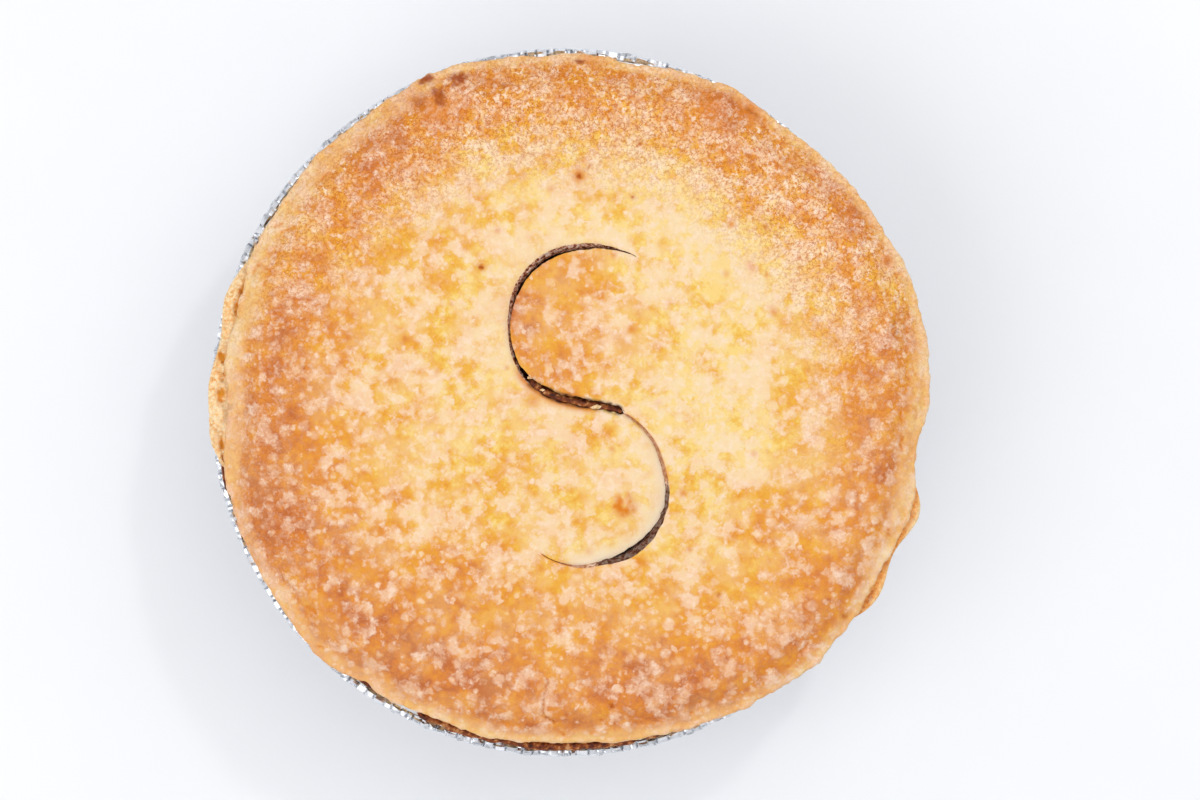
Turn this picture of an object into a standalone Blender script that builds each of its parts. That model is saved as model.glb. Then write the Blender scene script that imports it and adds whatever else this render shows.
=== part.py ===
"""A round steak and onion pie, baked and served in its crimped foil tray.

Four pieces, from the outside in: the foil tray, the pastry case that lines it and laps over
its rim, the steak filling, and the pastry lid with one long curved steam vent cut through it.

Metres, +Z up. The origin is the middle of the tray's flat base, on the table. Looking down on
the pie, +X is its right-hand side and +Y its far side.
"""

import math

import bmesh
import bpy
import numpy as np
from mathutils.geometry import delaunay_2d_cdt

MM = 0.001
GAP = 0.3 * MM  # left between two pieces that touch

# The foil tray, a five inch pie tray: a cold-pressed sheet with a pleated wall and a rolled rim.
TRAY_WIDTH = 127.0 * MM
TRAY_HEIGHT = 32.0 * MM
TRAY_BASE_WIDTH = 91.0 * MM
TRAY_SHEET = 0.4 * MM
TRAY_PLEATS = 60
TRAY_PLEAT_DEPTH = 0.9 * MM
TRAY_FLANGE_WIDTH = 2.8 * MM
TRAY_ROLL = 1.7 * MM  # width and height of the rolled rim
TRAY_RIB_WIDTH = 68.0 * MM  # the stiffening rib pressed up in the base
TRAY_RIB_HEIGHT = 0.7 * MM

# The pastry case: a cup of shortcrust whose lip lies on the rim of the tray.
CASE_WALL = 3.2 * MM
CASE_FLOOR = 3.0 * MM
LIP_THICKNESS = 2.0 * MM
LIP_RADIUS = 60.9 * MM

# The pastry lid: a rolled disc, pressed down on the lip all round.
LID_RADIUS = 62.8 * MM
LID_SHIFT = 1.2 * MM  # the lid lies this far towards +X on the tray
LID_OVAL = 0.95 * MM
LID_OVAL_TURN = math.radians(-5)
EDGE_THICKNESS = 2.3 * MM  # of the pressed edge
SHOULDER_THICKNESS = 4.9 * MM  # of the ring that has risen inside the pressed edge
MIDDLE_THICKNESS = 4.1 * MM
EDGE_ROUNDING = 0.9 * MM
# Where the lid's top changes height, from its edge inwards, as shares of the outline's radius.
ROUNDING_SHARES = (0.965, 1.0)
SHOULDER_OUTER_SHARES = (0.975, 0.915)
SHOULDER_INNER_SHARES = (0.89, 0.72)
LID_RIM_SHARE = 0.985  # the last row of points on the top
LID_SEGMENTS = 128
INSIDE_ONLY = 1  # the triangulation's way of leaving out what lies past the outline

# Bulges and dips along an edge: the angle from +X in degrees, the reach, the half spread in degrees.
LID_LOBES = (
    (19, 0.8 * MM, 8),
    (50, -0.7 * MM, 8),
    (62, 0.7 * MM, 4),
    (78, -0.9 * MM, 5),
    (110, 1.3 * MM, 8),
    (147, -0.9 * MM, 8),
    (164, -2.3 * MM, 8),
    (181, -2.7 * MM, 9),
    (196, -0.3 * MM, 5),
    (225, 1.1 * MM, 6),
    (235, -0.8 * MM, 2.5),
    (247, -0.9 * MM, 6),
    (271, -1.35 * MM, 15),
    (292, -0.5 * MM, 10),
    (313, 0.6 * MM, 7),
    (334, -1.0 * MM, 8),
    (352, -1.7 * MM, 6),
)
LIP_LOBES = (
    (163, 2.3 * MM, 8),
    (176, 1.9 * MM, 5),
    (184.5, 2.7 * MM, 7),
    (328, 4.8 * MM, 8),
    (342.5, 5.2 * MM, 6.5),
)

# The steam vent: two round bends and the straight cut between them, the same turned half round.
VENT_MIDDLE = (4.4 * MM, -0.5 * MM)
VENT_BEND = 13.7 * MM
VENT_BENDS_APART = 28.5 * MM
VENT_LEAN = math.radians(1.8)  # of the line through the middles of the bends
VENT_TIP = math.radians(54)  # where the first bend starts, about its own middle
VENT_FLARE = 1.25 * MM  # how far each tip runs out of its bend
VENT_FLARE_TURN = math.radians(46)
# Where the cut strays from that line: the place from tip to tip, the reach to +X, the half length.
VENT_STRAYS = (
    (0.035, 0.4 * MM, 0.03),
    (0.17, -0.3 * MM, 0.07),
    (0.37, -0.5 * MM, 0.05),
    (0.54, 0.5 * MM, 0.045),
    (0.675, -0.4 * MM, 0.04),
    (0.93, 0.4 * MM, 0.03),
)
VENT_SLIT = 0.3 * MM
# Where the slit has opened: the place from tip to tip, the added width, the half length.
VENT_GAPES = (
    (0.17, 1.2 * MM, 0.07),
    (0.47, 1.3 * MM, 0.08),
    (0.83, 1.3 * MM, 0.06),
)
VENT_SLANT = 1.0 * MM  # the cut leans in, so that its foot lies this much nearer the bend's middle
VENT_SLANT_FADE = 0.1  # of the vent's length, by each tip and to each side of the halfway point
VENT_STATIONS = 64
VENT_FINE_STATIONS = 400
VENT_FLANK = 1.6 * MM  # a row of points follows the slit this far from its sides
VENT_LIFT = 0.5 * MM  # the pastry on the +X side of the vent stands higher by twice this
VENT_LIFT_REACH = 7.0 * MM
VENT_LIFT_FADE = 0.12  # of the vent's length, over which the lift dies away at each tip

# The filling stops short of the lid.
FILLING_HEADROOM = 1.4 * MM
FILLING_CHUNK = 7.0 * MM
FILLING_CHUNK_HEIGHT = 0.9 * MM
FILLING_ROUNDING = 1.5 * MM
FILLING_SEGMENTS = 48

LIP_BOTTOM = TRAY_HEIGHT + GAP
LIP_TOP = LIP_BOTTOM + LIP_THICKNESS
LID_BOTTOM = LIP_TOP + GAP


def smooth_step(value, start, end):
    """0 up to start, 1 from end on, and a smooth ramp in between."""
    share = np.clip((value - start) / (end - start), 0, 1)
    return share * share * (3 - 2 * share)


def with_lobes(radius, angles, lobes):
    """The radius at each angle, with the bulges and dips added."""
    for degrees, reach, spread in lobes:
        away = (np.degrees(angles) - degrees + 180) % 360 - 180
        radius = radius + reach * np.exp(-((away / spread) ** 2))
    return radius


def with_bumps(value, shares, bumps):
    """The value at each place along the vent, with what the bumps add there."""
    for place, added, spread in bumps:
        value = value + added * np.exp(-(((shares - place) / spread) ** 2))
    return value


def lid_outline(angles):
    """The radius of the lid's edge about the tray's axis."""
    oval = LID_OVAL * np.cos(2 * (angles - LID_OVAL_TURN))
    return with_lobes(LID_RADIUS + LID_SHIFT * np.cos(angles) + oval, angles, LID_LOBES)


def lip_outline(angles):
    """The radius of the edge of the case's lip."""
    return with_lobes(LIP_RADIUS + 0 * angles, angles, LIP_LOBES)


def turn(count):
    """Angles evenly spaced round a full turn."""
    return np.arange(count) * 2 * math.pi / count


def ring(angles, radius, height):
    """Points round the axis. The radius and the height can differ from angle to angle."""
    radius = radius + 0 * angles
    height = height + 0 * angles
    return np.column_stack([radius * np.cos(angles), radius * np.sin(angles), height])


def new_object(name, mesh, material):
    mesh.materials.append(material)
    mesh.shade_smooth()
    mesh.set_sharp_from_angle(angle=math.radians(40))
    piece = bpy.data.objects.new(name, mesh)
    bpy.context.scene.collection.objects.link(piece)
    return piece


def stacked_mesh(name, rings):
    """A closed body through the rings, from the middle of its underside round to its top."""
    shape = bmesh.new()
    rows = [[shape.verts.new(point) for point in points] for points in rings]
    count = len(rows[0])
    for low, high in zip(rows, rows[1:]):
        for i in range(count):
            j = (i + 1) % count
            shape.faces.new((low[i], low[j], high[j], high[i]))
    for row, upward in ((rows[0], False), (rows[-1], True)):
        height = sum(vert.co.z for vert in row) / count
        middle = shape.verts.new((0, 0, height))
        for i in range(count):
            pair = (row[i], row[(i + 1) % count])
            shape.faces.new((*pair, middle) if upward else (*reversed(pair), middle))
    bmesh.ops.triangulate(shape, faces=shape.faces[:])
    mesh = bpy.data.meshes.new(name)
    shape.to_mesh(mesh)
    shape.free()
    return mesh


# --- materials ---------------------------------------------------------------------------------


def new_material(name, color, roughness, metallic=0.0):
    material = bpy.data.materials.new(name)
    material.use_nodes = True
    shader = material.node_tree.nodes["Principled BSDF"]
    shader.inputs["Base Color"].default_value = (*color, 1)
    shader.inputs["Roughness"].default_value = roughness
    shader.inputs["Metallic"].default_value = metallic
    return material


def bright_foil():
    return new_material("bright foil", (0.80, 0.81, 0.83), roughness=0.28, metallic=1.0)


def pale_baked_pastry():
    return new_material("pale baked pastry", (0.78, 0.52, 0.22), roughness=0.6)


def golden_baked_pastry():
    return new_material("golden baked pastry", (0.84, 0.55, 0.24), roughness=0.55)


def steak_in_gravy():
    return new_material("steak in gravy", (0.09, 0.035, 0.015), roughness=0.35)


# --- foil tray ---------------------------------------------------------------------------------

TRAY_BASE_RADIUS = TRAY_BASE_WIDTH / 2
TRAY_RADIUS = TRAY_WIDTH / 2
TRAY_BASE_BEND = 1.3 * MM
FLANGE_UNDERSIDE = TRAY_HEIGHT - TRAY_SHEET - 0.4 * MM
FLANGE_INNER_RADIUS = TRAY_RADIUS - TRAY_ROLL - TRAY_FLANGE_WIDTH
WALL_TOP = FLANGE_UNDERSIDE - 0.8 * MM
WALL_TOP_RADIUS = FLANGE_INNER_RADIUS - 0.8 * MM
WALL_BOTTOM_RADIUS = TRAY_BASE_RADIUS + 0.9 * MM
WALL_SLANT = math.atan2(WALL_TOP_RADIUS - WALL_BOTTOM_RADIUS, WALL_TOP - TRAY_BASE_BEND)
SHEET_ACROSS = TRAY_SHEET / math.cos(WALL_SLANT)  # the sheet's width, measured level


def make_foil_tray(material):
    """The sheet is followed out along its underside, round the rolled rim and back along its top."""
    angles = turn(2 * TRAY_PLEATS)
    pleat = np.where(np.arange(2 * TRAY_PLEATS) % 2 == 0, 0.5, -0.5) * TRAY_PLEAT_DEPTH
    shallow = 0.3 * pleat
    rib = TRAY_RIB_WIDTH / 2
    rib_slope = 1.2 * MM
    rib_top = 1.5 * MM
    base = (
        (rib - rib_top - rib_slope, 0.0),
        (rib - rib_top, TRAY_RIB_HEIGHT),
        (rib + rib_top, TRAY_RIB_HEIGHT),
        (rib + rib_top + rib_slope, 0.0),
        (TRAY_BASE_RADIUS - 0.6 * MM, 0.0),
    )
    roll_inner = TRAY_RADIUS - TRAY_ROLL
    roll_bottom = TRAY_HEIGHT - TRAY_ROLL
    corner = 0.5 * MM

    underside = [ring(angles, radius, height) for radius, height in base]
    underside.append(ring(angles, WALL_BOTTOM_RADIUS + shallow, TRAY_BASE_BEND))
    underside.append(ring(angles, WALL_TOP_RADIUS + pleat, WALL_TOP))
    underside.append(ring(angles, FLANGE_INNER_RADIUS + shallow, FLANGE_UNDERSIDE))
    rolled_rim = [
        ring(angles, roll_inner, FLANGE_UNDERSIDE),
        ring(angles, roll_inner + corner, roll_bottom),
        ring(angles, TRAY_RADIUS - corner, roll_bottom),
        ring(angles, TRAY_RADIUS, roll_bottom + corner),
        ring(angles, TRAY_RADIUS, TRAY_HEIGHT - corner),
        ring(angles, TRAY_RADIUS - corner, TRAY_HEIGHT),
        ring(angles, roll_inner + corner, TRAY_HEIGHT),
    ]
    top_side = [
        ring(angles, FLANGE_INNER_RADIUS - TRAY_SHEET / 2 + shallow, FLANGE_UNDERSIDE + TRAY_SHEET),
        ring(angles, WALL_TOP_RADIUS - SHEET_ACROSS + pleat, WALL_TOP),
        ring(angles, WALL_BOTTOM_RADIUS - SHEET_ACROSS + shallow, TRAY_BASE_BEND),
    ]
    top_side += [ring(angles, radius, height + TRAY_SHEET) for radius, height in reversed(base)]
    mesh = stacked_mesh("foil_tray", underside + rolled_rim + top_side)
    return new_object("foil_tray", mesh, material)


# --- pastry case and filling -------------------------------------------------------------------

# The case's outer wall stands clear of the innermost pleats all the way up.
CASE_CLEARANCE = SHEET_ACROSS + TRAY_PLEAT_DEPTH / 2 + GAP / math.cos(WALL_SLANT)
CASE_BOTTOM = TRAY_SHEET + TRAY_RIB_HEIGHT + GAP
CASE_ACROSS = CASE_WALL / math.cos(WALL_SLANT)
CASE_FOOT = 1.5 * MM  # how far its bottom corners are rounded
CASE_SEGMENTS = 72


def wall_radius(height):
    """The mean radius of the underside of the tray's slanted wall."""
    share = (height - TRAY_BASE_BEND) / (WALL_TOP - TRAY_BASE_BEND)
    return WALL_BOTTOM_RADIUS + share * (WALL_TOP_RADIUS - WALL_BOTTOM_RADIUS)


def case_radius(height):
    return wall_radius(height) - CASE_CLEARANCE


def make_pastry_case(material):
    angles = turn(CASE_SEGMENTS)
    outline = lip_outline(angles)
    floor = CASE_BOTTOM + CASE_FLOOR
    neck = FLANGE_UNDERSIDE
    lip_middle = LIP_BOTTOM + 0.4 * LIP_THICKNESS
    lip_fold = 0.5 * MM
    mouth_rounding = 1.5 * MM
    rings = [
        ring(angles, case_radius(CASE_BOTTOM) - CASE_FOOT, CASE_BOTTOM),
        ring(angles, case_radius(CASE_BOTTOM + CASE_FOOT), CASE_BOTTOM + CASE_FOOT),
        ring(angles, case_radius(neck), neck),
        ring(angles, case_radius(neck) + lip_fold, LIP_BOTTOM),
        ring(angles, outline - lip_fold, LIP_BOTTOM),
        ring(angles, outline, lip_middle),
        ring(angles, outline, LIP_TOP - lip_fold),
        ring(angles, outline - lip_fold, LIP_TOP),
        ring(angles, case_radius(LIP_TOP) - CASE_ACROSS + mouth_rounding, LIP_TOP),
        ring(angles, case_radius(lip_middle) - CASE_ACROSS, lip_middle),
        ring(angles, case_radius(floor + CASE_FOOT) - CASE_ACROSS, floor + CASE_FOOT),
        ring(angles, case_radius(floor) - CASE_ACROSS - CASE_FOOT, floor),
    ]
    return new_object("pastry_case", stacked_mesh("pastry_case", rings), material)


def make_steak_filling(material):
    """Chunks in gravy, which fill the case up to a little under the lid."""
    angles = turn(FILLING_SEGMENTS)
    bottom = CASE_BOTTOM + CASE_FLOOR + GAP
    top = LID_BOTTOM - FILLING_HEADROOM - FILLING_CHUNK_HEIGHT
    shoulder = top - FILLING_ROUNDING
    clear = CASE_ACROSS + GAP / math.cos(WALL_SLANT)
    rings = [
        ring(angles, case_radius(bottom) - clear - CASE_FOOT, bottom),
        ring(angles, case_radius(bottom + CASE_FOOT) - clear, bottom + CASE_FOOT),
        ring(angles, case_radius(shoulder) - clear, shoulder),
    ]
    rim = case_radius(top) - clear - FILLING_ROUNDING
    wave = 2 * math.pi / FILLING_CHUNK
    for share in np.linspace(1, 0.09, 8):
        points = ring(angles, rim * share, top)
        chunks = np.sin(wave * points[:, 0]) * np.sin(wave * points[:, 1] + 1)
        points[:, 2] += FILLING_CHUNK_HEIGHT * chunks * (1 - share**6)
        rings.append(points)
    return new_object("steak_filling", stacked_mesh("steak_filling", rings), material)


# --- pastry lid --------------------------------------------------------------------------------


def vent_path(count):
    """Points down the middle of the vent, tip to tip, and the way across it towards +X."""
    half = VENT_BENDS_APART / 2
    first_bend = half * np.array([-math.sin(VENT_LEAN), math.cos(VENT_LEAN)])
    last_turn = 1.5 * math.pi + VENT_LEAN - math.acos(2 * VENT_BEND / VENT_BENDS_APART)
    sweep = last_turn - VENT_TIP
    straight = math.sqrt(VENT_BENDS_APART**2 - 4 * VENT_BEND**2)
    places = np.linspace(0, VENT_BEND * sweep + straight / 2, count // 2 + 1)
    turned = np.minimum(places / VENT_BEND, sweep)
    flare = VENT_FLARE * (1 - smooth_step(turned, 0, VENT_FLARE_TURN))
    straight_run = np.maximum(places - VENT_BEND * sweep, 0)
    angles = VENT_TIP + turned
    out = np.column_stack([np.cos(angles), np.sin(angles)])
    along = np.column_stack([-out[:, 1], out[:, 0]])
    upper = first_bend + out * (VENT_BEND + flare)[:, None] + along * straight_run[:, None]
    path = np.vstack([upper, -upper[-2::-1]])
    across = -np.vstack([out, out[-2::-1]])
    stray = with_bumps(np.zeros(len(path)), np.linspace(0, 1, len(path)), VENT_STRAYS)
    return np.array(VENT_MIDDLE) + path + across * stray[:, None], across


def vent_width(shares):
    """The width of the slit at places from 0 at the first tip to 1 at the last."""
    return with_bumps(VENT_SLIT + 0 * shares, shares, VENT_GAPES)


def vent_slant(shares):
    """How far the foot of the slit lies to the +X side of its top, at places from 0 to 1."""
    fade = smooth_step(np.minimum(shares, 1 - shares), 0, VENT_SLANT_FADE)
    return VENT_SLANT * fade * np.clip((0.5 - shares) / VENT_SLANT_FADE, -1, 1)


def vent_loops(shift):
    """The slit's loop, up one side and back down the other, and rows of points that flank it."""
    path, across = vent_path(VENT_STATIONS)
    shares = np.linspace(0, 1, len(path))
    half = vent_width(shares)[:, None] / 2
    flank = half + VENT_FLANK
    path = path + across * shift(shares)[:, None]
    slit = np.vstack([path + across * half, (path - across * half)[::-1]])
    return slit, np.vstack([path + across * flank, path - across * flank])


def from_vent(points):
    """How far points lie from the vent, + towards +X, and their place from 0 to 1 along it."""
    path, across = vent_path(VENT_FINE_STATIONS)
    offset = points[:, None, :] - path[None, :, :]
    distance = np.hypot(offset[..., 0], offset[..., 1])
    nearest = distance.argmin(axis=1)
    rows = np.arange(len(points))
    side = np.sign((offset[rows, nearest] * across[nearest]).sum(axis=1))
    return side * distance[rows, nearest], nearest / (len(path) - 1)


def lid_top(points):
    """The height of the lid's top: the pressed edge, the risen shoulder and the sunken middle."""
    angles = np.arctan2(points[:, 1], points[:, 0])
    share = np.hypot(points[:, 0], points[:, 1]) / lid_outline(angles)
    height = LID_BOTTOM + EDGE_THICKNESS - EDGE_ROUNDING * smooth_step(share, *ROUNDING_SHARES)
    height += (SHOULDER_THICKNESS - EDGE_THICKNESS) * smooth_step(share, *SHOULDER_OUTER_SHARES)
    height -= (SHOULDER_THICKNESS - MIDDLE_THICKNESS) * smooth_step(share, *SHOULDER_INNER_SHARES)
    away, place = from_vent(points)
    lift = VENT_LIFT * smooth_step(np.minimum(place, 1 - place), 0, VENT_LIFT_FADE)
    return height + lift * np.sign(away) * np.exp(-((away / VENT_LIFT_REACH) ** 2))


def lid_rings(shares, spacing):
    """Rings of points at these shares of the lid's outline, clear of the vent."""
    rings = []
    for share in shares:
        count = max(6, round(2 * math.pi * share * LID_RADIUS / spacing))
        angles = turn(count)
        rings.append(ring(angles, share * lid_outline(angles), 0)[:, :2])
    points = np.vstack(rings)
    away, _ = from_vent(points)
    return points[np.abs(away) > 2 * VENT_FLANK]


def triangles_between(outline, slit, inside):
    """Triangles over all these points, inside the outline and out of the slit.

    The slit's loop runs up one side of the slit and back down the other.
    """
    points = np.vstack([outline, slit, inside])
    first, last = len(outline), len(outline) + len(slit)
    middle = first + len(slit) // 2
    edges = [(i, (i + 1) % first) for i in range(first)]
    edges += [(i, i + 1) for i in range(first, last - 1)]
    edges.append((last - 1, first))
    _, _, faces, origins, _, _ = delaunay_2d_cdt(points.tolist(), edges, [], INSIDE_ONLY, 1e-9)
    kept = []
    for face in faces:
        corners = [origins[i][0] for i in face]
        on_slit = min(corners) >= first and max(corners) < last
        both_sides = min(corners) < middle <= max(corners)
        if not (on_slit and both_sides):
            kept.append(corners)
    return points, kept


def make_pastry_lid(material):
    slit, flanks = vent_loops(np.zeros_like)
    slit_foot, foot_flanks = vent_loops(vent_slant)
    angles = turn(LID_SEGMENTS)
    outline = lid_outline(angles)
    rim = ring(angles, LID_RIM_SHARE * outline, 0)[:, :2]
    shoulder = lid_rings(np.linspace(0.965, 0.9, 4), 3.2 * MM)
    middle = lid_rings(np.linspace(0.85, 0.08, 11), 4.6 * MM)
    underside = lid_rings(np.linspace(0.85, 0.08, 5), 12.0 * MM)
    top_points, top_faces = triangles_between(rim, slit, np.vstack([flanks, shoulder, middle]))
    underside = np.vstack([foot_flanks, underside])
    bottom_points, bottom_faces = triangles_between(rim, slit_foot, underside)

    shape = bmesh.new()
    top = [shape.verts.new((*point, z)) for point, z in zip(top_points, lid_top(top_points))]
    bottom = [shape.verts.new((*point, LID_BOTTOM)) for point in bottom_points]
    widest = LID_BOTTOM + 0.4 * EDGE_THICKNESS
    side = [shape.verts.new(point) for point in ring(angles, outline, widest)]
    for corners in top_faces:
        shape.faces.new([top[i] for i in corners])
    for corners in bottom_faces:
        shape.faces.new([bottom[i] for i in reversed(corners)])
    rims = len(rim)
    slits = slice(rims, rims + len(slit))
    for low, high in ((bottom[:rims], side), (side, top[:rims]), (top[slits], bottom[slits])):
        for i in range(len(low)):
            j = (i + 1) % len(low)
            shape.faces.new((low[i], low[j], high[j], high[i]))
    bmesh.ops.recalc_face_normals(shape, faces=shape.faces[:])
    bmesh.ops.triangulate(shape, faces=shape.faces[:])
    mesh = bpy.data.meshes.new("pastry_lid")
    shape.to_mesh(mesh)
    shape.free()
    return new_object("pastry_lid", mesh, material)


def clear_scene():
    for piece in list(bpy.data.objects):
        bpy.data.objects.remove(piece)


def main():
    clear_scene()
    make_foil_tray(bright_foil())
    make_pastry_case(pale_baked_pastry())
    make_steak_filling(steak_in_gravy())
    make_pastry_lid(golden_baked_pastry())


main()
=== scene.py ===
"""A round steak and onion pie, baked in its crimped foil tray, seen from straight above.

Every length is in metres, on the CAD frame: the origin is the middle of the tray's flat base,
+X is the right-hand side of the pie seen from above and +Y its far side. Tables with rows of
several numbers are in millimetres and degrees.
"""

import itertools
import math
from functools import partial

import bpy
import numpy as np
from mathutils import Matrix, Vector
from mathutils.geometry import delaunay_2d_cdt
from mathutils.kdtree import KDTree


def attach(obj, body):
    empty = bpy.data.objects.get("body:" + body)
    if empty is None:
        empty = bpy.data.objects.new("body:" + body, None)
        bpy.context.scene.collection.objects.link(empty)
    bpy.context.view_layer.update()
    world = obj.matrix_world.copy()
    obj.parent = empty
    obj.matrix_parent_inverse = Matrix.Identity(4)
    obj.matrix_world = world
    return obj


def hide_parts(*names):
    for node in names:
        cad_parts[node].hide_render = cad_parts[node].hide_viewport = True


MM = 0.001
GAP = 0.3 * MM

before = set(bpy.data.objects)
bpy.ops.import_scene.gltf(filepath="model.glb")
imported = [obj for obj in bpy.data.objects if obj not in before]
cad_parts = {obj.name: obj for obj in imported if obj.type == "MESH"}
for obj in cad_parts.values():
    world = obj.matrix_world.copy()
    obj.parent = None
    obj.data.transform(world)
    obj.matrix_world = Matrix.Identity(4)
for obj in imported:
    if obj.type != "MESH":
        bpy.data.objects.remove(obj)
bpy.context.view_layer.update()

# --- sizes shared with the solids ---

TRAY_RADIUS = 63.5 * MM
TRAY_HEIGHT = 32.0 * MM
TRAY_BASE_RADIUS = 45.5 * MM
TRAY_BASE_BEND = 1.3 * MM
TRAY_PLEATS = 60
TRAY_PLEAT_DEPTH = 0.9 * MM
TRAY_ROLL = 1.7 * MM
TRAY_RIB_RADIUS = 34.0 * MM
TRAY_RIB_HEIGHT = 0.7 * MM
TRAY_SHEET = 0.4 * MM  # the thickness that the solids allow for
FLANGE_UNDERSIDE = 31.2 * MM
FLANGE_INNER_RADIUS = 59.0 * MM
WALL_TOP = 30.4 * MM
WALL_TOP_RADIUS = 58.2 * MM
WALL_BOTTOM_RADIUS = 46.4 * MM
WALL_SLANT = math.atan2(WALL_TOP_RADIUS - WALL_BOTTOM_RADIUS, WALL_TOP - TRAY_BASE_BEND)

CASE_WALL = 3.2 * MM
CASE_FLOOR = 3.0 * MM
CASE_FOOT = 1.5 * MM
CASE_BOTTOM = TRAY_SHEET + TRAY_RIB_HEIGHT + GAP
CASE_ACROSS = CASE_WALL / math.cos(WALL_SLANT)
CASE_CLEARANCE = (TRAY_SHEET + GAP) / math.cos(WALL_SLANT) + TRAY_PLEAT_DEPTH / 2
LIP_RADIUS = 60.9 * MM
LIP_THICKNESS = 2.0 * MM
LIP_BOTTOM = TRAY_HEIGHT + GAP
LIP_TOP = LIP_BOTTOM + LIP_THICKNESS

LID_BOTTOM = LIP_TOP + GAP
LID_RADIUS = 62.8 * MM
LID_SHIFT = 1.2 * MM
LID_OVAL = 0.95 * MM
LID_OVAL_TURN = math.radians(-5)
EDGE_THICKNESS = 2.3 * MM
SHOULDER_THICKNESS = 4.9 * MM
MIDDLE_THICKNESS = 4.1 * MM
EDGE_ROUNDING = 0.9 * MM
ROUNDING_SHARES = (0.965, 1.0)
SHOULDER_OUTER_SHARES = (0.99, 0.885)
SHOULDER_INNER_SHARES = (0.89, 0.72)
LID_RIM_SHARE = 0.985

# Bulges and dips along an edge: the angle, how far they reach, the half spread in degrees.
LID_LOBES = (
    (19, 0.8, 8), (50, -0.7, 8), (62, 0.7, 4), (78, -0.9, 5), (110, 1.3, 8), (147, -0.9, 8),
    (164, -2.3, 8), (181, -2.7, 9), (196, -0.3, 5), (225, 1.1, 6), (235, -0.8, 2.5), (247, -0.9, 6),
    (271, -1.35, 15), (292, -0.5, 10), (313, 0.6, 7), (334, -1.0, 8), (352, -1.7, 6),
)
LIP_LOBES = ((163, 2.3, 8), (176, 1.9, 5), (184.5, 2.7, 7), (328, 4.8, 8), (342.5, 5.2, 6.5))

VENT_MIDDLE = (4.4 * MM, -0.5 * MM)
VENT_BEND = 13.7 * MM
VENT_BENDS_APART = 28.5 * MM
VENT_LEAN = math.radians(1.8)
VENT_TIP = math.radians(54)
VENT_FLARE = 1.25 * MM
VENT_FLARE_TURN = math.radians(46)
# Where the cut strays from that line: the place from tip to tip, the reach to +X, the half length.
VENT_STRAYS = (
    (0.035, 0.4, 0.03), (0.17, -0.3, 0.07), (0.37, -0.5, 0.05),
    (0.54, 0.5, 0.045), (0.675, -0.4, 0.04), (0.93, 0.4, 0.03),
)
# How wide the cut stands open at the top: the place from tip to tip, the width.
VENT_OPENINGS = (
    (0.0, 0.1), (0.03, 0.4), (0.08, 1.1), (0.15, 1.5), (0.22, 1.3), (0.26, 0.65), (0.31, 0.45),
    (0.36, 0.8), (0.4, 1.35), (0.47, 1.5), (0.553, 1.25), (0.562, 0.15), (0.7, 0.17), (0.725, 0.4),
    (0.77, 0.75), (0.81, 1.4), (0.85, 1.7), (0.88, 1.1), (0.91, 0.45), (0.95, 0.18), (1.0, 0.1),
)
VENT_SLANT = 1.0 * MM
VENT_SLANT_FADE = 0.1
VENT_UNDERCUT = 0.7 * MM  # more slant in the last gape, where the wall closes the view down
VENT_LIFT = 0.5 * MM
VENT_LIFT_REACH = 7.0 * MM
VENT_LIFT_FADE = 0.12
VENT_STATIONS = 420

FILLING_TOP = LID_BOTTOM - 2.3 * MM
FILLING_ROUNDING = 1.5 * MM

# --- arithmetic shared by the shapes ---


def smooth_step(value, start, end):
    """0 up to start, 1 from end on, and a smooth ramp in between."""
    share = np.clip((value - start) / (end - start), 0, 1)
    return share * share * (3 - 2 * share)


def between(value, start, end, fade):
    """1 from start to end, and a smooth ramp outside them."""
    return smooth_step(value, start - fade, start) * (1 - smooth_step(value, end, end + fade))


def bump(value, middle=0, reach=1):
    """1 at the middle, falling away smoothly on both sides."""
    return np.exp(-(((value - middle) / reach) ** 2))


def turn(count):
    return np.arange(count) * 2 * math.pi / count


def ring(angles, radius, height):
    return np.column_stack([radius * np.cos(angles), radius * np.sin(angles), height + 0 * angles])


def polar(points):
    """How far points lie from the tray's axis, and at which angles."""
    return np.hypot(points[:, 0], points[:, 1]), np.arctan2(points[:, 1], points[:, 0])


def reach_from(points, x, y, radius):
    """How far points lie from a mark, counted in its radii; the mark is given in mm."""
    return np.hypot(points[:, 0] - x * MM, points[:, 1] - y * MM) / (radius * MM)


def roughness_at(points, size, seed, layers=1):
    """Smooth random values from -1 to 1. Swells lie size mm apart, and each layer halves that."""
    total = np.zeros(len(points))
    weight = 0
    for layer in range(layers):
        grid = points / (size * MM / 2**layer) + 19.3 * layer
        cell = np.floor(grid).astype(np.int64)
        inside = grid - cell
        inside = inside * inside * (3 - 2 * inside)
        value = np.zeros(len(points))
        for corner in itertools.product((0, 1), repeat=3):
            key = cell + corner
            mixed = key[:, 0] * 73856093 ^ key[:, 1] * 19349663 ^ key[:, 2] * 83492791
            mixed = (mixed ^ (seed + layer) * 40503) * 1274126177
            mixed = (mixed ^ (mixed >> 15)) * 668265263
            chance = ((mixed ^ (mixed >> 13)) & 0xFFFF) / 0xFFFF
            value += chance * np.prod(np.where(corner, inside, 1 - inside), axis=1)
        total += (2 * value - 1) / 2**layer
        weight += 1 / 2**layer
    return total / weight


def roughness_round(angles, radius, size, seed, layers=1):
    """The same along a circle of this radius."""
    return roughness_at(ring(angles, radius, 0.0), size, seed, layers)


def degrees_off(angles, degrees):
    """How far angles lie from this one, from -180 to 180 degrees."""
    return (np.degrees(angles) - degrees + 180) % 360 - 180


def with_lobes(radius, angles, lobes):
    for degrees, reach, spread in lobes:
        radius = radius + reach * MM * bump(degrees_off(angles, degrees), 0, spread)
    return radius


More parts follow.
